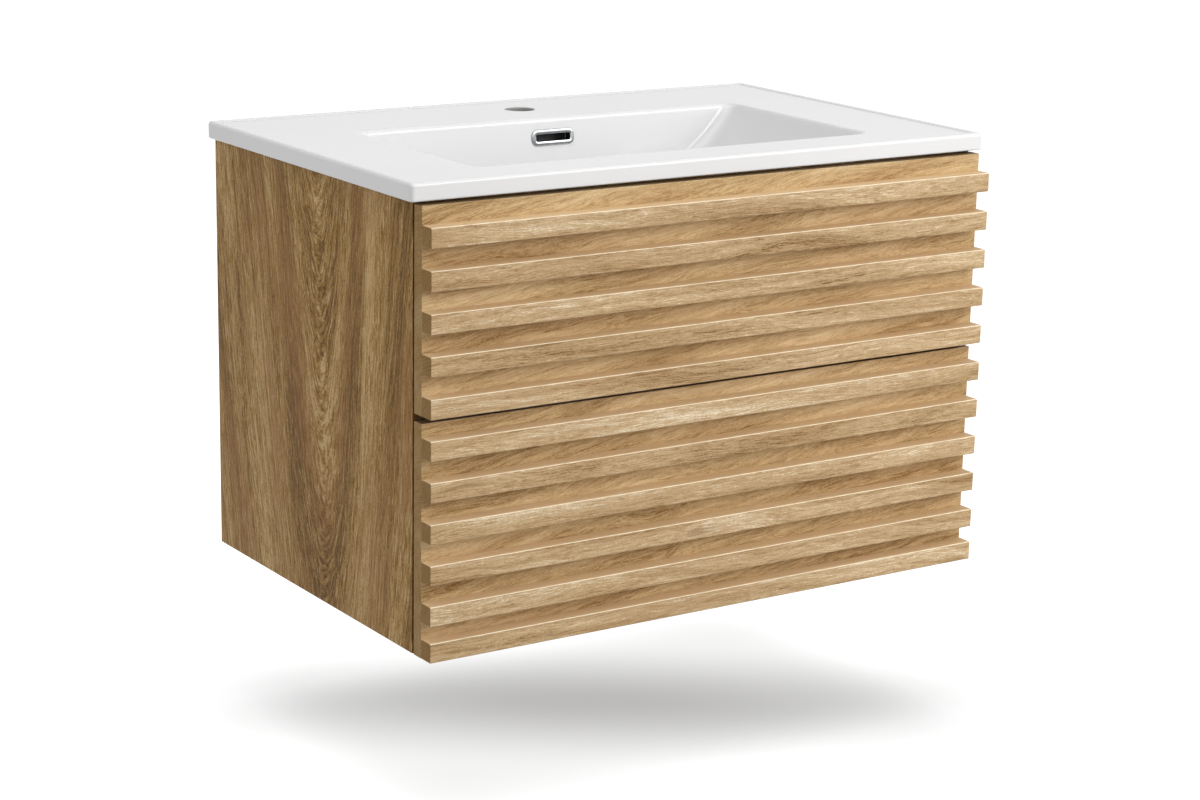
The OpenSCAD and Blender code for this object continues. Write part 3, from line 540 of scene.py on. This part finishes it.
# Bare clay for the tap's bore, darker than fired clay is: partly painted shade.
bare_clay_painted_shade = matt("bare_clay_painted_shade", (0.27, 0.267, 0.26, 1), (0.34, 0.337, 0.33, 1),
                500.0, (0.8, 0.95), 0.1 * MM)
# Near black clay inside the duct: painted shade.
clay_painted_dark = matt("clay_painted_dark_as_shade", (0.04, 0.04, 0.038, 1), (0.07, 0.069, 0.066, 1),
                300.0, (0.5, 0.8), 0.1 * MM)
plastic = matt("moulded_grey_plastic", tone(172, 173, 174), tone(158, 160, 162),
               1600.0, (0.42, 0.56), 0.06 * MM)
faced_board = matt("linen_faced_board", tone(211, 206, 197), tone(202, 196, 186),
                   (240.0, 240.0, 2400.0), (0.44, 0.58), 0.05 * MM)
beech = matt("beech_dowel", tone(206, 176, 132), tone(182, 148, 104),
             (300.0, 300.0, 60.0), (0.5, 0.65), 0.08 * MM)
clear_rubber = matt("clear_rubber", tone(226, 226, 222), tone(206, 206, 200),
                    700.0, (0.22, 0.36), 0.03 * MM, see_through=0.35)
print("materials in the file:", len(bpy.data.materials))

# %% [markdown]
# ## Boards with soft arrises
#
# A joiner breaks every arris with a pass of sandpaper, and that thin round edge is what catches the
# light. A cube with a bevel modifier would do, but here the whole board is one formula: put a grid
# on each face of a box, pull every point back into a smaller box, the core, and step out again by
# the edge radius. That rounds the arrises and corners, and the step's direction is also the exact
# normal, so the flat faces stay flat.


# %% Soft boards
def places_along(half, radius, steps=4):
    """Grid places of one axis: core end + radius * tan(0 to 45 degrees), and its mirror image."""
    high = half - radius + radius * np.tan(np.linspace(0, math.pi / 4, steps + 1))
    return np.concatenate([-high[::-1], high])


def soft_board(low, high, radius):
    """Rounded box: core point + radius * direction. Points, quads, normals, edge and face axis."""
    centre, half = (high + low) / 2, (high - low) / 2
    rows = [places_along(h, radius) for h in half]
    n = len(rows[0])
    sheets, quads, faced = [], [], []
    for axis in range(3):
        u, v = (axis + 1) % 3, (axis + 2) % 3
        for side in (-1, 1):
            sheet = np.zeros((n, n, 3))
            sheet[..., u], sheet[..., v] = np.meshgrid(rows[u], rows[v], indexing="ij")
            sheet[..., axis] = side * half[axis]
            own = grid_quads(n, n)[:, ::side] + len(sheets) * n * n
            sheets.append(sheet.reshape(-1, 3))
            quads.append(own)
            faced.append(np.full(len(own), axis))
    every = np.round(np.concatenate(sheets), 9)  # to a nanometre, so that shared points are equal
    points, welded = np.unique(every, axis=0, return_inverse=True)
    core = np.clip(points, radius - half, half - radius)
    normals = points - core
    normals /= np.linalg.norm(normals, axis=1, keepdims=True)
    edge = np.clip((1 - np.abs(normals).max(1)) / (1 - math.sqrt(0.5)), 0, 1)
    quads = welded.reshape(-1)[np.concatenate(quads)]
    return centre + core + radius * normals, quads, normals, edge, np.concatenate(faced)


print("a soft board has", len(soft_board(-np.ones(3), np.ones(3), 0.1)[1]), "quads")

# %% [markdown]
# Each board is cut from its own spot of the log, far along it and some way off its heart, so no two
# look alike. The slats' grain follows their length, and the fronts' veneer runs at a slight slant.
# Only the arris that faces up and out, where the light falls, gets the wear and the painted
# highlight in full; the others get a tenth of it.


# %% Boards
ALONG_X, ALONG_Z, LYING = [0, 2, 1], [2, 1, 0], [0, 1, 2]


def give_grain(mesh, node, order, slant=0.0):
    """The grain attribute: places along, across and through, turned by a slant, then shifted."""
    grain = coordinates(mesh)[:, order]
    turn = math.radians(slant)
    along, across = grain[:, 0].copy(), grain[:, 1].copy()
    grain[:, 0] = along * math.cos(turn) + across * math.sin(turn)
    grain[:, 1] = across * math.cos(turn) - along * math.sin(turn)
    centre = np.mean(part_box(node), axis=0)[order]
    spot = np.array([rng.uniform(-9, 9), rng.uniform(0.02, 0.10), rng.uniform(0.03, 0.14)])
    grain = grain + (spot - centre * (0, 1, 1))
    mesh.attributes.new("grain", "FLOAT_VECTOR", "POINT").data.foreach_set("vector", grain.ravel())


def board(node, finish, order, radius, painted_faces=(), ends=(), slant=0.0, end_share=1.0):
    """A soft board with a node's box; two lists give the axes of the narrow faces that get a
    painted tone (light on the slats, shade on fronts and sides) and of the end faces.
    """
    low, high = (np.array(corner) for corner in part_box(node))
    points, quads, normals, edge, faced = soft_board(low, high, radius)
    piece = new_piece(node + "_board", points, quads)
    mesh = piece.data
    mesh.normals_split_custom_set_from_vertices(normals.tolist())
    give_grain(mesh, node, order, slant)
    # The arris that faces up and out carries the painted highlight and the wear in full.
    handled_and_lit = (normals[:, 1] < -0.25) & (normals[:, 2] > 0.25)
    mark(mesh, "edge", edge * np.where(handled_and_lit, 1.0, 0.1))
    mark(mesh, "painted_faces", np.isin(faced, painted_faces) * 1.0, "FACE")
    mark(mesh, "ends", np.isin(faced, ends) * end_share, "FACE")
    stand_for(piece, node, finish)


slat_nodes = [n for n in nodes if "_slat_" in n]
for name in slat_nodes:
    board(name, front_oak, ALONG_X, radius=1.2 * MM, painted_faces=[2], ends=[0])
print(len(slat_nodes), "slats")

# %% [markdown]
# The fronts lie behind the slats and show between them as darker strips, and the side panels are
# veneered with the grain upright, as a cabinet maker does it to stretch a low cabinet.

# %% Fronts and sides
for name in ("upper_front_panel", "lower_front_panel"):
    board(name, panel_oak, ALONG_X, radius=0.6 * MM, painted_faces=[2], ends=[0], slant=9.0,
          end_share=0.75)
for name in ("side_panel_left", "side_panel_right"):
    board(name, side_oak, ALONG_Z, radius=0.7 * MM, painted_faces=[1], slant=1.5)
print("2 fronts and 2 sides")

# %% [markdown]
# ## The basin
#
# The basin is one casting: a slab with a raised border, a bowl, and below it a shell of even
# thickness with a boss for the waste. Turned shapes could be spun and straight ones extruded, but
# this one changes from a long rectangle to a circle. Both belong to one family, the rounded
# rectangle, so the whole skin is a stack of such rings: each row has a half length a, a half width
# b, a corner radius r, a centre and a height. The rows run from the waste up the outside, over the
# border and down into the bowl, back to where they began. Values here are in millimetres.

# %% Basin values
slab_half = (385.0, 242.5)
slab_y, slab_corner, slab_edge, foot_edge = -242.5, 5.0, 4.0, 2.0
top_z, deck_z, under_z, ceiling_z = 75.0, 73.5, 55.0, 64.5
lip_start, lip_run, lip_corner, rest_width, clay = 7.5, 4.0, 4.0, 30.0, 9.0
bowl_half, bowl_y, bowl_deep = (270.0, 141.0), -279.0, 100.0
rim, lean, floor_round, end_round = 6.0, math.radians(8), 40.0, 260.0
rim_corner, floor_corner = 16.0, 26.0
dish_r, dish_deep, waste_r, waste_edge = 55.0, 3.0, 23.0, 1.5
boss_r, boss_z, boss_edge, boss_fillet = 36.0, -53.5, 2.0, 5.0
tap_y, tap_r, tap_edge, tap_boss_r, tap_boss_high = -70.0, 17.5, 3.0, 30.0, 14.0
slot_half, slot_drop, slot_sleeve = (24.0, 4.25), 24.0, 1.0
duct_w, duct_wall = 12.0, 6.0
spare = 3.0  # clay left inside the waste, which its cutter takes away

end_angle = math.acos(1 - bowl_deep / (end_round + rim))
flat_a = bowl_half[0] - (end_round + rim) * math.sin(end_angle)
wall_start = rim * (1 - math.sin(lean))
wall_end = bowl_deep - floor_round * (1 - math.sin(lean))
print("bowl ends: flat floor from x =", round(-flat_a, 1), "to", round(flat_a, 1), "mm")

# %% [markdown]
# The bowl's ends sweep down in one long curve, while its front and back lean a little and turn in
# late. So two functions give its half length and half width at each depth, strung together from
# circles and straight lines.


# %% Bowl profiles
def arc(radius, t):
    """Height of a circle over its diameter, t from the middle: the root of radius^2 - t^2."""
    return np.sqrt(np.maximum(0, radius**2 - t**2))


def leaning(depth):
    """Half width on the straight part of the front and back walls, which lean by 8 degrees."""
    return bowl_half[1] - rim * math.cos(lean) - (depth - wall_start) * math.tan(lean)


flat_b = leaning(wall_end) - floor_round * math.cos(lean)


def half_length(d):
    """Half length at depth d: a small round rim, then one circle of 260 mm down to the floor."""
    lip = bowl_half[0] - arc(rim, rim - d)
    sweep = flat_a + arc(end_round, end_round - bowl_deep + d)
    return np.where(d < rim * (1 - math.cos(end_angle)), lip, sweep)


def half_width(d):
    """Half width at depth d: a small round rim, a leaning wall, a circle of 40 mm to the floor."""
    lip = bowl_half[1] - arc(rim, rim - d)
    foot = flat_b + arc(floor_round, d - bowl_deep + floor_round)
    return np.where(d < wall_start, lip, np.where(d < wall_end, leaning(d), foot))


for depth in np.array([0.0, 50.0, 100.0]):
    print("bowl at depth", depth, "mm:", half_length(depth).round(1), half_width(depth).round(1))

# %% [markdown]
# A row is five numbers, and rings() turns rows into points. Short functions write whole stacks of
# rows from one array of heights, for the bowl, for the slab and for the round waste.


# %% Rows and rings
def bowl_rows(d, grow, stretch):
    """Rows a, b, r, centre, height of the bowl's outline at depths d, grown by a wall."""
    r = rim_corner + (floor_corner - rim_corner) * d / bowl_deep + grow
    height = deck_z - d * stretch
    return np.stack([half_length(d) + grow, half_width(d) + grow, r, d * 0 + bowl_y, height], 1)


def slab_rows(inset, z, corner=None):
    """Rows of the slab's outline, so far inside its edge, at heights z."""
    inset, z = np.broadcast_arrays(np.asarray(inset, float), np.asarray(z, float))
    r = np.maximum(slab_corner - inset, 2.0) if corner is None else inset * 0 + corner
    return np.stack([slab_half[0] - inset, slab_half[1] - inset, r, inset * 0 + slab_y, z], 1)


def round_rows(radius, z):
    """Rows that are circles round the waste; a core of 0.3 mm keeps their columns apart."""
    radius, z = np.broadcast_arrays(np.asarray(radius, float), np.asarray(z, float))
    return np.stack([radius, radius, radius - 0.3, radius * 0 + bowl_y, z], 1)


def rings(rows, steps):
    """Points of rounded rectangles: sign * (half - r) + r * (cos, sin), a quarter per corner."""
    a, b, r, y, z = (rows[:, k, None] for k in range(5))
    quarter, k = np.divmod(np.arange(4 * (steps + 1)), steps + 1)
    angle = (quarter + k / steps) * math.pi / 2
    sx, sy = np.where((quarter == 0) | (quarter == 3), 1, -1), np.where(quarter < 2, 1, -1)
    x = sx * (a - r) + r * np.cos(angle)
    return np.stack([x, y + sy * (b - r) + r * np.sin(angle), z + 0 * x], -1) * MM


print("a row gives", rings(round_rows([waste_r], 0.0), 16).shape[1], "points at 16 steps a corner")

# %% [markdown]
# Now the rows are stacked. They follow a quarter of a circle where an edge is round, and lie close
# together only where the clay bends.

# %% Basin skin
turn = np.linspace(0, math.pi / 2, 9)
slope = np.linspace(0, 1, 9)
depths = bowl_deep * (1 - np.cos(np.linspace(0, math.pi, 81))) / 2
shell_stretch = 1 + clay / bowl_deep
shell_top = (deck_z - ceiling_z) / shell_stretch
shell = np.concatenate([[shell_top], depths[depths > shell_top + 0.5]])[::-1]
shell_floor, bowl_floor = deck_z - bowl_deep - clay, deck_z - bowl_deep
outside = [
    round_rows([waste_r - spare, boss_r - spare], boss_z),
    round_rows(boss_r - boss_edge + boss_edge * np.sin(turn),
               boss_z + boss_edge - boss_edge * np.cos(turn)),
    round_rows(boss_r + boss_fillet - boss_fillet * np.cos(turn),
               shell_floor - boss_fillet + boss_fillet * np.sin(turn)),
    bowl_rows(shell, clay, shell_stretch),
    slab_rows([rest_width, rest_width, rest_width - 1], [ceiling_z, under_z + 1, under_z],
              slab_corner),
    slab_rows([foot_edge + 0.6], under_z),
    slab_rows(foot_edge * (1 - np.sin(turn)), under_z + foot_edge * (1 - np.cos(turn))),
    slab_rows(slab_edge * (1 - np.cos(turn)), top_z - slab_edge + slab_edge * np.sin(turn)),
]
inside = [
    slab_rows(lip_start + lip_run * slope,
              top_z - (top_z - deck_z) * (1 - np.cos(math.pi * slope)) / 2, lip_corner),
    slab_rows([lip_start + lip_run + 0.7], deck_z, lip_corner),
    np.array([[bowl_half[0] + 1.0, bowl_half[1] + 1.0, rim_corner + 1.0, bowl_y, deck_z]]),
    bowl_rows(depths, 0.0, 1.0),
    round_rows([dish_r + 1.5], bowl_floor),
    round_rows(waste_r - spare + (dish_r - waste_r + spare) * slope[::-1],
               bowl_floor - dish_deep * (1 + np.cos(math.pi * slope[::-1])) / 2),
]
skin = rings(np.concatenate(outside + inside), 16)
count, columns = skin.shape[:2]
quads = outward(skin.reshape(-1, 3), looped_quads(count, columns))
basin = new_piece("basin_glazed", skin.reshape(-1, 3), quads)
print("basin skin:", count, "rows of", columns, "points")

# %% [markdown]
# The overflow needs a hidden duct: water that reaches the slot runs down behind the bowl and comes
# out in the waste. A boolean is the right tool where two forms cross at any angle. Each cutter is
# again a profile carried along a path: the duct's rectangle follows the bowl's outside, and a hole
# is a profile turned round its axis, with a quarter circle where its edge is rounded.


# %% Duct
def duct_wall_line(away, top):
    """One wall of the duct: straight along the leaning wall, round the foot, flat to the waste."""
    angle = np.linspace(lean, math.pi / 2, 17)
    foot = np.stack([flat_b + (floor_round + away) * np.cos(angle),
                     floor_round - bowl_deep - (floor_round + away) * np.sin(angle)], 1)
    start = [[leaning(top) + away / math.cos(lean), -top]]
    return np.concatenate([start, foot, [[0.0, -bowl_deep - away]]])


def duct(half, near, far, top):
    """A rectangle from near to far, so wide to each side, carried along the two walls' lines."""
    inner, outer = duct_wall_line(near, top), duct_wall_line(far, top)
    corners = [(-half, inner), (half, inner), (half, outer), (-half, outer)]
    path = np.stack([np.column_stack([line[:, 0] * 0 + x, line[:, 0] + bowl_y, line[:, 1] + deck_z])
                     for x, line in corners], 1)
    points = path.reshape(-1, 3) * MM
    n = len(points)
    caps = np.array([[3, 2, 1, 0], [n - 4, n - 3, n - 2, n - 1]])
    quads = np.concatenate([grid_quads(len(inner), 4, ring=True), caps])
    return new_piece("duct", points, outward(points, quads))


print("the duct follows", len(duct_wall_line(clay, slot_drop)), "points along the bowl's outside")

# %% [markdown]
# A boolean needs closed bodies whose faces all point outward, or it may cut nothing at all. So each
# cutter is mended first: what is open is filled, and the normals are worked out again.


# %% Holes
SEGMENTS = 72


def closed(piece):
    """Fills what is open in a piece and turns all its faces outward."""
    shell = bmesh.new()
    shell.from_mesh(piece.data)
    bmesh.ops.holes_fill(shell, edges=shell.edges, sides=0)
    bmesh.ops.recalc_face_normals(shell, faces=shell.faces)
    shell.to_mesh(piece.data)
    shell.free()
    return piece


def turned(radii, heights, y):
    """A profile turned round an upright axis at x = 0; its two ends are closed by small discs."""
    angle = np.linspace(0, 2 * math.pi, SEGMENTS, endpoint=False)
    r, z = (np.asarray(v, float)[:, None] for v in (radii, heights))
    points = np.stack([r * np.cos(angle), y + r * np.sin(angle), z + 0 * r * angle], -1)
    points = points.reshape(-1, 3) * MM
    quads = outward(points, grid_quads(len(radii), SEGMENTS, ring=True))
    return closed(new_piece("turned", points, quads))


def hole(radius, edge, y, top, bottom, above=12):
    """Cutter for a round hole: straight up from the bottom, a quarter circle, and on above."""
    angle = np.radians(np.linspace(0, 88, 12))
    radii = np.concatenate([[radius], radius + edge - edge * np.cos(angle)])
    radii = np.concatenate([radii, radii[-1:]])
    heights = np.concatenate([[bottom], top - edge + edge * np.sin(angle), [top + above]])
    return turned(radii, heights, y)


def slot_rings(grow, height, steps):
    """Rings of the overflow's outline, grown by a border, at heights above the leaning wall."""
    grow, height = np.broadcast_arrays(np.asarray(grow, float), np.asarray(height, float))
    a, b = slot_half[0] + grow, slot_half[1] + grow
    flat = rings(np.stack([a, b, slot_half[1] / 2 + grow, grow * 0, height], 1), steps) / MM
    x, up, out = (flat[..., k, None] for k in range(3))
    origin = np.array([0, bowl_y + leaning(slot_drop), deck_z - slot_drop])
    along_up = np.array([0, math.sin(lean), math.cos(lean)])
    along_out = np.array([0, -math.cos(lean), math.sin(lean)])
    return (origin + x * np.array([1.0, 0, 0]) + up * along_up + out * along_out) * MM


def combine(piece, other, operation):
    """Adds or takes away another closed piece, which is then gone; both have the same finishes."""
    closed(other)
    for finish in basin_finishes:
        other.data.materials.append(finish)
    step = piece.modifiers.new(operation.lower(), "BOOLEAN")
    step.operation, step.solver, step.object = operation, "EXACT", other
    settle(piece)
    bpy.data.objects.remove(other)


print("round cutters have", SEGMENTS, "segments")

# %% [markdown]
# What is added comes first, while the basin is still whole: the duct's clay, and a boss that
# strengthens the slab under the tap hole.

# %% Add the duct and the tap's boss
basin_finishes = (white_glaze, bare_clay_painted_shade, clay_painted_dark)
closed(basin)
for finish in basin_finishes:
    basin.data.materials.append(finish)
duct_clay = duct(slot_half[0] + duct_wall, clay / 2, clay + duct_w + duct_wall, clay / 2)
combine(basin, duct_clay, "UNION")
tap_boss = turned([tap_boss_r, tap_boss_r], [under_z, under_z + tap_boss_high], tap_y)
combine(basin, tap_boss, "UNION")
print("basin with its duct's clay:", len(basin.data.polygons), "faces")

# %% [markdown]
# The tap's bore and the duct's hollow go last and in one cutter, because their faces carry the
# finishes of bare clay with painted shade and of clay painted near black as shade, and a later
# boolean would lose them. The bore's first rows, up to the middle of its rounded edge, are bare;
# glaze has run over the rest.

# %% Cut the basin
past = 2.0  # how far a cutter stands out of the clay
slot_reach = [-clay - 1, 2 * past]  # from inside the duct to in front of the bowl's wall
slot = slot_rings([slot_sleeve, slot_sleeve], slot_reach, 8)
slot_quads = grid_quads(2, slot.shape[1], ring=True)
combine(basin, new_piece("slot", slot.reshape(-1, 3), slot_quads), "DIFFERENCE")
waste_top = bowl_floor - dish_deep + 0.35  # the dish has risen so much at the waste's edge
combine(basin, hole(waste_r, waste_edge, bowl_y, waste_top, boss_z - past), "DIFFERENCE")

bore = hole(tap_r, tap_edge, tap_y, deck_z, under_z - past)
hollow = duct(slot_half[0], clay, clay + duct_w, slot_drop - 2 * slot_half[1])
bare_rows = 7
faces = bore.data.polygons
faces.foreach_set("material_index", (np.arange(len(faces)) < bare_rows * SEGMENTS) * 1)
faces = hollow.data.polygons
# The hollow's faces take the clay that is painted near black as shade.
faces.foreach_set("material_index", np.full(len(faces), 2))
joined = bmesh.new()
for cutter in (bore, hollow):
    joined.from_mesh(cutter.data)
joined.to_mesh(hollow.data)
joined.free()
bpy.data.objects.remove(bore)
combine(basin, hollow, "DIFFERENCE")
closed(basin)
bare = sum(face.material_index > 0 for face in basin.data.polygons)
print("basin:", len(basin.data.polygons), "faces,", bare, "of them unglazed")

# %% [markdown]
# Booleans leave long thin faces, which would shade unevenly, so normals are weighted by area. Then
# the glaze's two attributes are worked out: the bowl's painted shade from the place, edge from the
# turn of the normal.


# %% Glazed basin
def turned_sharply(mesh):
    """How sharply the surface turns at each point: the normal's turn per metre, 1 from 250 on."""
    full_turn, shortest = 250, 0.2 * MM
    points, normals = coordinates(mesh), coordinates(mesh, "normal")
    ends = np.empty(len(mesh.edges) * 2, int)
    mesh.edges.foreach_get("vertices", ends)
    a, b = ends.reshape(-1, 2).T
    length = np.maximum(np.linalg.norm(points[a] - points[b], axis=1), shortest)
    rate = np.linalg.norm(normals[a] - normals[b], axis=1) / length
    most = np.zeros(len(points))
    np.maximum.at(most, a, rate)
    np.maximum.at(most, b, rate)
    return np.clip(most / full_turn, 0, 1)


basin.data.shade_smooth()
basin.data.set_sharp_from_angle(angle=math.radians(38))
even = basin.modifiers.new("even_normals", "WEIGHTED_NORMAL")
even.mode, even.weight, even.keep_sharp = "FACE_AREA", 60, True
settle(basin)
x, y, z = coordinates(basin.data).T / MM
mouth = (np.abs(x) < bowl_half[0]) & (np.abs(y - bowl_y) < bowl_half[1])
# The bowl's painted shade starts 1 mm below the deck and is full 5 mm lower.
rim_depth, fade = 1, 5
painted_bowl_shade = np.where(mouth, np.clip((deck_z - rim_depth - z) / fade, 0, 1), 0)
mark(basin.data, "painted_bowl_shade", painted_bowl_shade)
mark(basin.data, "edge", turned_sharply(basin.data))
stand_for(basin, "basin", None)
print("basin:", int(mouth.sum()), "of", len(x), "points lie over the bowl")

# %% [markdown]
# ## The overflow ring
#
# A chromed ring lines the slot and hides the cut edge of the clay. It is the same family of rings
# once more, carried round the slot's outline: a thin sleeve from 9 mm inside the wall, a border 5.5
# mm wide and 2 mm proud with round edges, and back along the sleeve's outside. The sleeve in the
# slot and the border's foot are painted near black as painted shade.

# %% Ring
bend = np.linspace(0, math.pi / 2, 6)
sleeve_end, sleeve_top, painted_shade_below, foot = -9.0, 0.6, 0.9, 0.05
inner_low, inner_round = 1.2, 0.7
flat_end, outer_round = 4.3, 1.2
outer_low, outer_fall = 0.7, 1.3
grows = np.concatenate([[0, 0], inner_round * (1 - np.cos(bend)),
                        flat_end + outer_round * np.sin(bend),
                        [flat_end + outer_round, slot_sleeve, slot_sleeve]])
heights = np.concatenate([[sleeve_end, sleeve_top], inner_low + inner_round * np.sin(bend),
                          outer_low + outer_fall * np.cos(bend), [foot, foot, sleeve_end]])
bezel = slot_rings(grows, heights, 10)
loops, around = bezel.shape[:2]
bezel_quads = outward(bezel.reshape(-1, 3), looped_quads(loops, around))
ring = new_piece("overflow_ring_polished", bezel.reshape(-1, 3), bezel_quads, sharp=40)
# Rows below 0.9 mm, the sleeve and the border's foot, carry the painted shade.
mark(ring.data, "painted_slot_shade", np.repeat((heights < painted_shade_below) * 1.0, around))
stand_for(ring, "overflow_ring", chrome)
print("overflow ring:", len(bezel_quads), "faces")

# %% [markdown]
# ## The hidden boards
#
# Rails, drawer boxes and the rest show only with a drawer open. Their CAD shapes have grooves and
# notches worth keeping, so each is copied, its loose triangles are welded into whole faces, and a
# narrow bevel softens its edges. A board that lies flat shows its broad face upwards, so its grain
# runs across in depth.


# %% Softened copies
def softened(node, finish, width, order):
    """A copy of a node with welded points, whole faces and bevelled edges."""
    mesh = nodes[node].data.copy()
    work = bmesh.new()
    work.from_mesh(mesh)
    bmesh.ops.remove_doubles(work, verts=work.verts, dist=1e-6)
    bmesh.ops.dissolve_limit(work, angle_limit=math.radians(0.5), verts=work.verts,
                             edges=work.edges)
    work.to_mesh(mesh)
    work.free()
    piece = bpy.data.objects.new(node + "_soft", mesh)
    scene.collection.objects.link(piece)
    bevel = piece.modifiers.new("bevel", "BEVEL")
    bevel.width, bevel.segments, bevel.limit_method = width, 2, "ANGLE"
    bevel.angle_limit, bevel.harden_normals = math.radians(50), True
    settle(piece)
    piece.data.shade_smooth()
    piece.data.set_sharp_from_angle(angle=math.radians(28))
    give_grain(piece.data, node, order)
    stand_for(piece, node, finish)


board_finishes = {"oak_cabinet": side_oak, "box_board": faced_board}
boards = [n for n in nodes if slots[n] in board_finishes and not nodes[n].hide_render]
for name in boards:
    _, deep, high = np.ptp(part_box(name), axis=0)
    order = ALONG_X if high > deep else LYING
    softened(name, board_finishes[slots[name]], 0.5 * MM, order)
print(len(boards), "hidden boards:", ", ".join(boards))

# %% [markdown]
# What is left keeps its CAD shape: runners, cages, hangers, plates, screws, dowels and pads. Each
# takes the finish of its slot.

# %% Finishes of the carried-over nodes
finishes = {"zinc_steel": zinc, "dowel_wood": beech, "grey_plastic": plastic, "pad": clear_rubber}
kept = [n for n in nodes if not nodes[n].hide_render]
for name in kept:
    nodes[name].data.materials.clear()
    nodes[name].data.materials.append(finishes[slots[name]])
print(len(kept), "CAD nodes keep their shape")

# %% [markdown]
# ## The studio
#
# The vanity hangs in front of white, with a soft shadow on a floor below it. A brighter lamp would
# burn out the white basin, so the white comes from the floor itself: to the camera and to
# reflections it glows a little, least in an ellipse under the cabinet. That dip in the glow is a
# painted shadow, laid over the real shadow that the floor's own lamp casts.

# %% Floor
FLOOR_Z, FLOOR_HALF, MIDDLE_Y = -0.636, 9, -0.25
# The glow is weakest in the middle and grows outward in ellipses: a painted shadow under the
# cabinet.
painted_shadow_halves = (0.70, 0.18, 1.0)  # the glow spreads from the middle in ellipses of these halves


def seen_directly(tree):
    """1 for the camera and for what looks through or into a clear or shiny thing, otherwise 0."""
    path = node_of(tree, "LightPath")
    seen = sums(tree, "ADD_01", path.outputs["Is Camera Ray"], path.outputs["Is Glossy Ray"])
    return sums(tree, "ADD_01", seen, path.outputs["Is Transmission Ray"])


corners = FLOOR_HALF * np.array([[-1, -1, 0], [1, -1, 0], [1, 1, 0], [-1, 1, 0]])
floor = new_piece("floor", corners + [0, 0, FLOOR_Z], np.array([[0, 1, 2, 3]]))
paper, tree, shader = new_finish("pale_floor")
fleck = stretched_noise(tree, on_object(tree), 40.0, 2.0)[0]
grey = blend_tones(tree, fleck, (0.24, 0.24, 0.24, 1), (0.26, 0.26, 0.26, 1))
tree.links.new(grey, shader.inputs["Base Color"])
shader.inputs["Roughness"].default_value = 0.9
shader.inputs["Specular IOR Level"].default_value = 0.0
spot = node_of(tree, "Mapping", {"vector_type": "TEXTURE"}, Vector=on_object(tree),
               Location=(0.0, MIDDLE_Y, FLOOR_Z), Rotation=(0, 0, -yaw), Scale=painted_shadow_halves)
far = vectors(tree, "LENGTH", spot.outputs[0])
# Painted shadow: the glow is 0.46 under the cabinet and 0.86 from 1.3 half lengths out, plus a
# little more far away.
glow_with_painted_shadow = sums(tree, "ADD", between(tree, far, 0.0, 1.3, 0.46, 0.86),
                  between(tree, far, 2.0, 9.0, 0.0, 0.12))
glow = node_of(tree, "Emission", Color=(1, 1, 1, 1),
               Strength=sums(tree, "MULTIPLY", seen_directly(tree), glow_with_painted_shadow))
both = node_of(tree, "AddShader")
tree.links.new(shader.outputs[0], both.inputs[0])
tree.links.new(glow.outputs[0], both.inputs[1])
output = next(n for n in tree.nodes if n.type == "OUTPUT_MATERIAL")
tree.links.new(both.outputs[0], output.inputs["Surface"])
floor.data.materials.append(paper)
print("floor at", FLOOR_Z)

# %% [markdown]
# The world lights from all sides. Only the camera, and what is mirrored or seen through something
# clear, meets it as white; all other light from it is dim, as from pale walls far away.

# %% World
ambient = 0.40
world = bpy.data.worlds.new("studio")
world.use_nodes = True
scene.world = world
tree = world.node_tree
sky = next(n for n in tree.nodes if n.type == "BACKGROUND")
brightness = sums(tree, "MULTIPLY_ADD", seen_directly(tree), 1 - ambient, ambient)
tree.links.new(brightness, sky.inputs["Strength"])
sky.inputs["Color"].default_value = (1, 1, 1, 1)
print("world light", ambient)

# %% [markdown]
# The key is a wide lamp from the right and above, which lights the slats' upper faces. A lower one
# from the same side reaches into the recesses between the slats; it is kept out of reflections,
# because its mirror image would burn out the bowl. One lamp fills the deck from above and one the
# left side, and the floor has a lamp of its own.


# %% Lamps
def softbox(name, place, aim, width, height, power):
    """A rectangular lamp of so many watts that looks from its place at its aim."""
    data = bpy.data.lights.new(name, "AREA")
    data.shape, data.size, data.size_y, data.energy = "RECTANGLE", width, height, power
    lamp = bpy.data.objects.new(name, data)
    scene.collection.objects.link(lamp)
    lamp.location = place
    lamp.rotation_euler = (Vector(aim) - Vector(place)).to_track_quat("-Z", "Y").to_euler()
    return lamp


def lit_only(lamp, name, state):
    """Keeps a lamp to the floor (INCLUDE) or off it (EXCLUDE), as flags do in a studio."""
    group = bpy.data.collections.new(name)
    group.objects.link(floor)
    group.collection_objects[0].light_linking.link_state = state
    lamp.light_linking.receiver_collection = group


key = softbox("key", (1.7, -3.0, 1.5), (0.0, -0.4, -0.1), 2.8, 2.0, 72)
top = softbox("top", (-0.7, -0.6, 2.5), (0.0, -0.3, 0.0), 2.2, 1.8, 17)
low_front = softbox("low_front", (1.9, -2.1, 0.2), (0.0, -0.5, -0.15), 2.0, 1.4, 21)
low_front.visible_glossy = False
left_fill = softbox("left_fill", (-3.0, -1.2, 0.9), (0.0, -0.3, -0.2), 2.0, 2.0, 19)
for lamp in (key, top, low_front, left_fill):
    lit_only(lamp, lamp.name + "_off_floor", "EXCLUDE")
floor_light = softbox("floor_light", (0.0, MIDDLE_Y, 2.4), (0.0, MIDDLE_Y, 0.0), 2.4, 3.8, 190)
floor_light.rotation_euler = (0, 0, -yaw)
lit_only(floor_light, "floor_only", "INCLUDE")
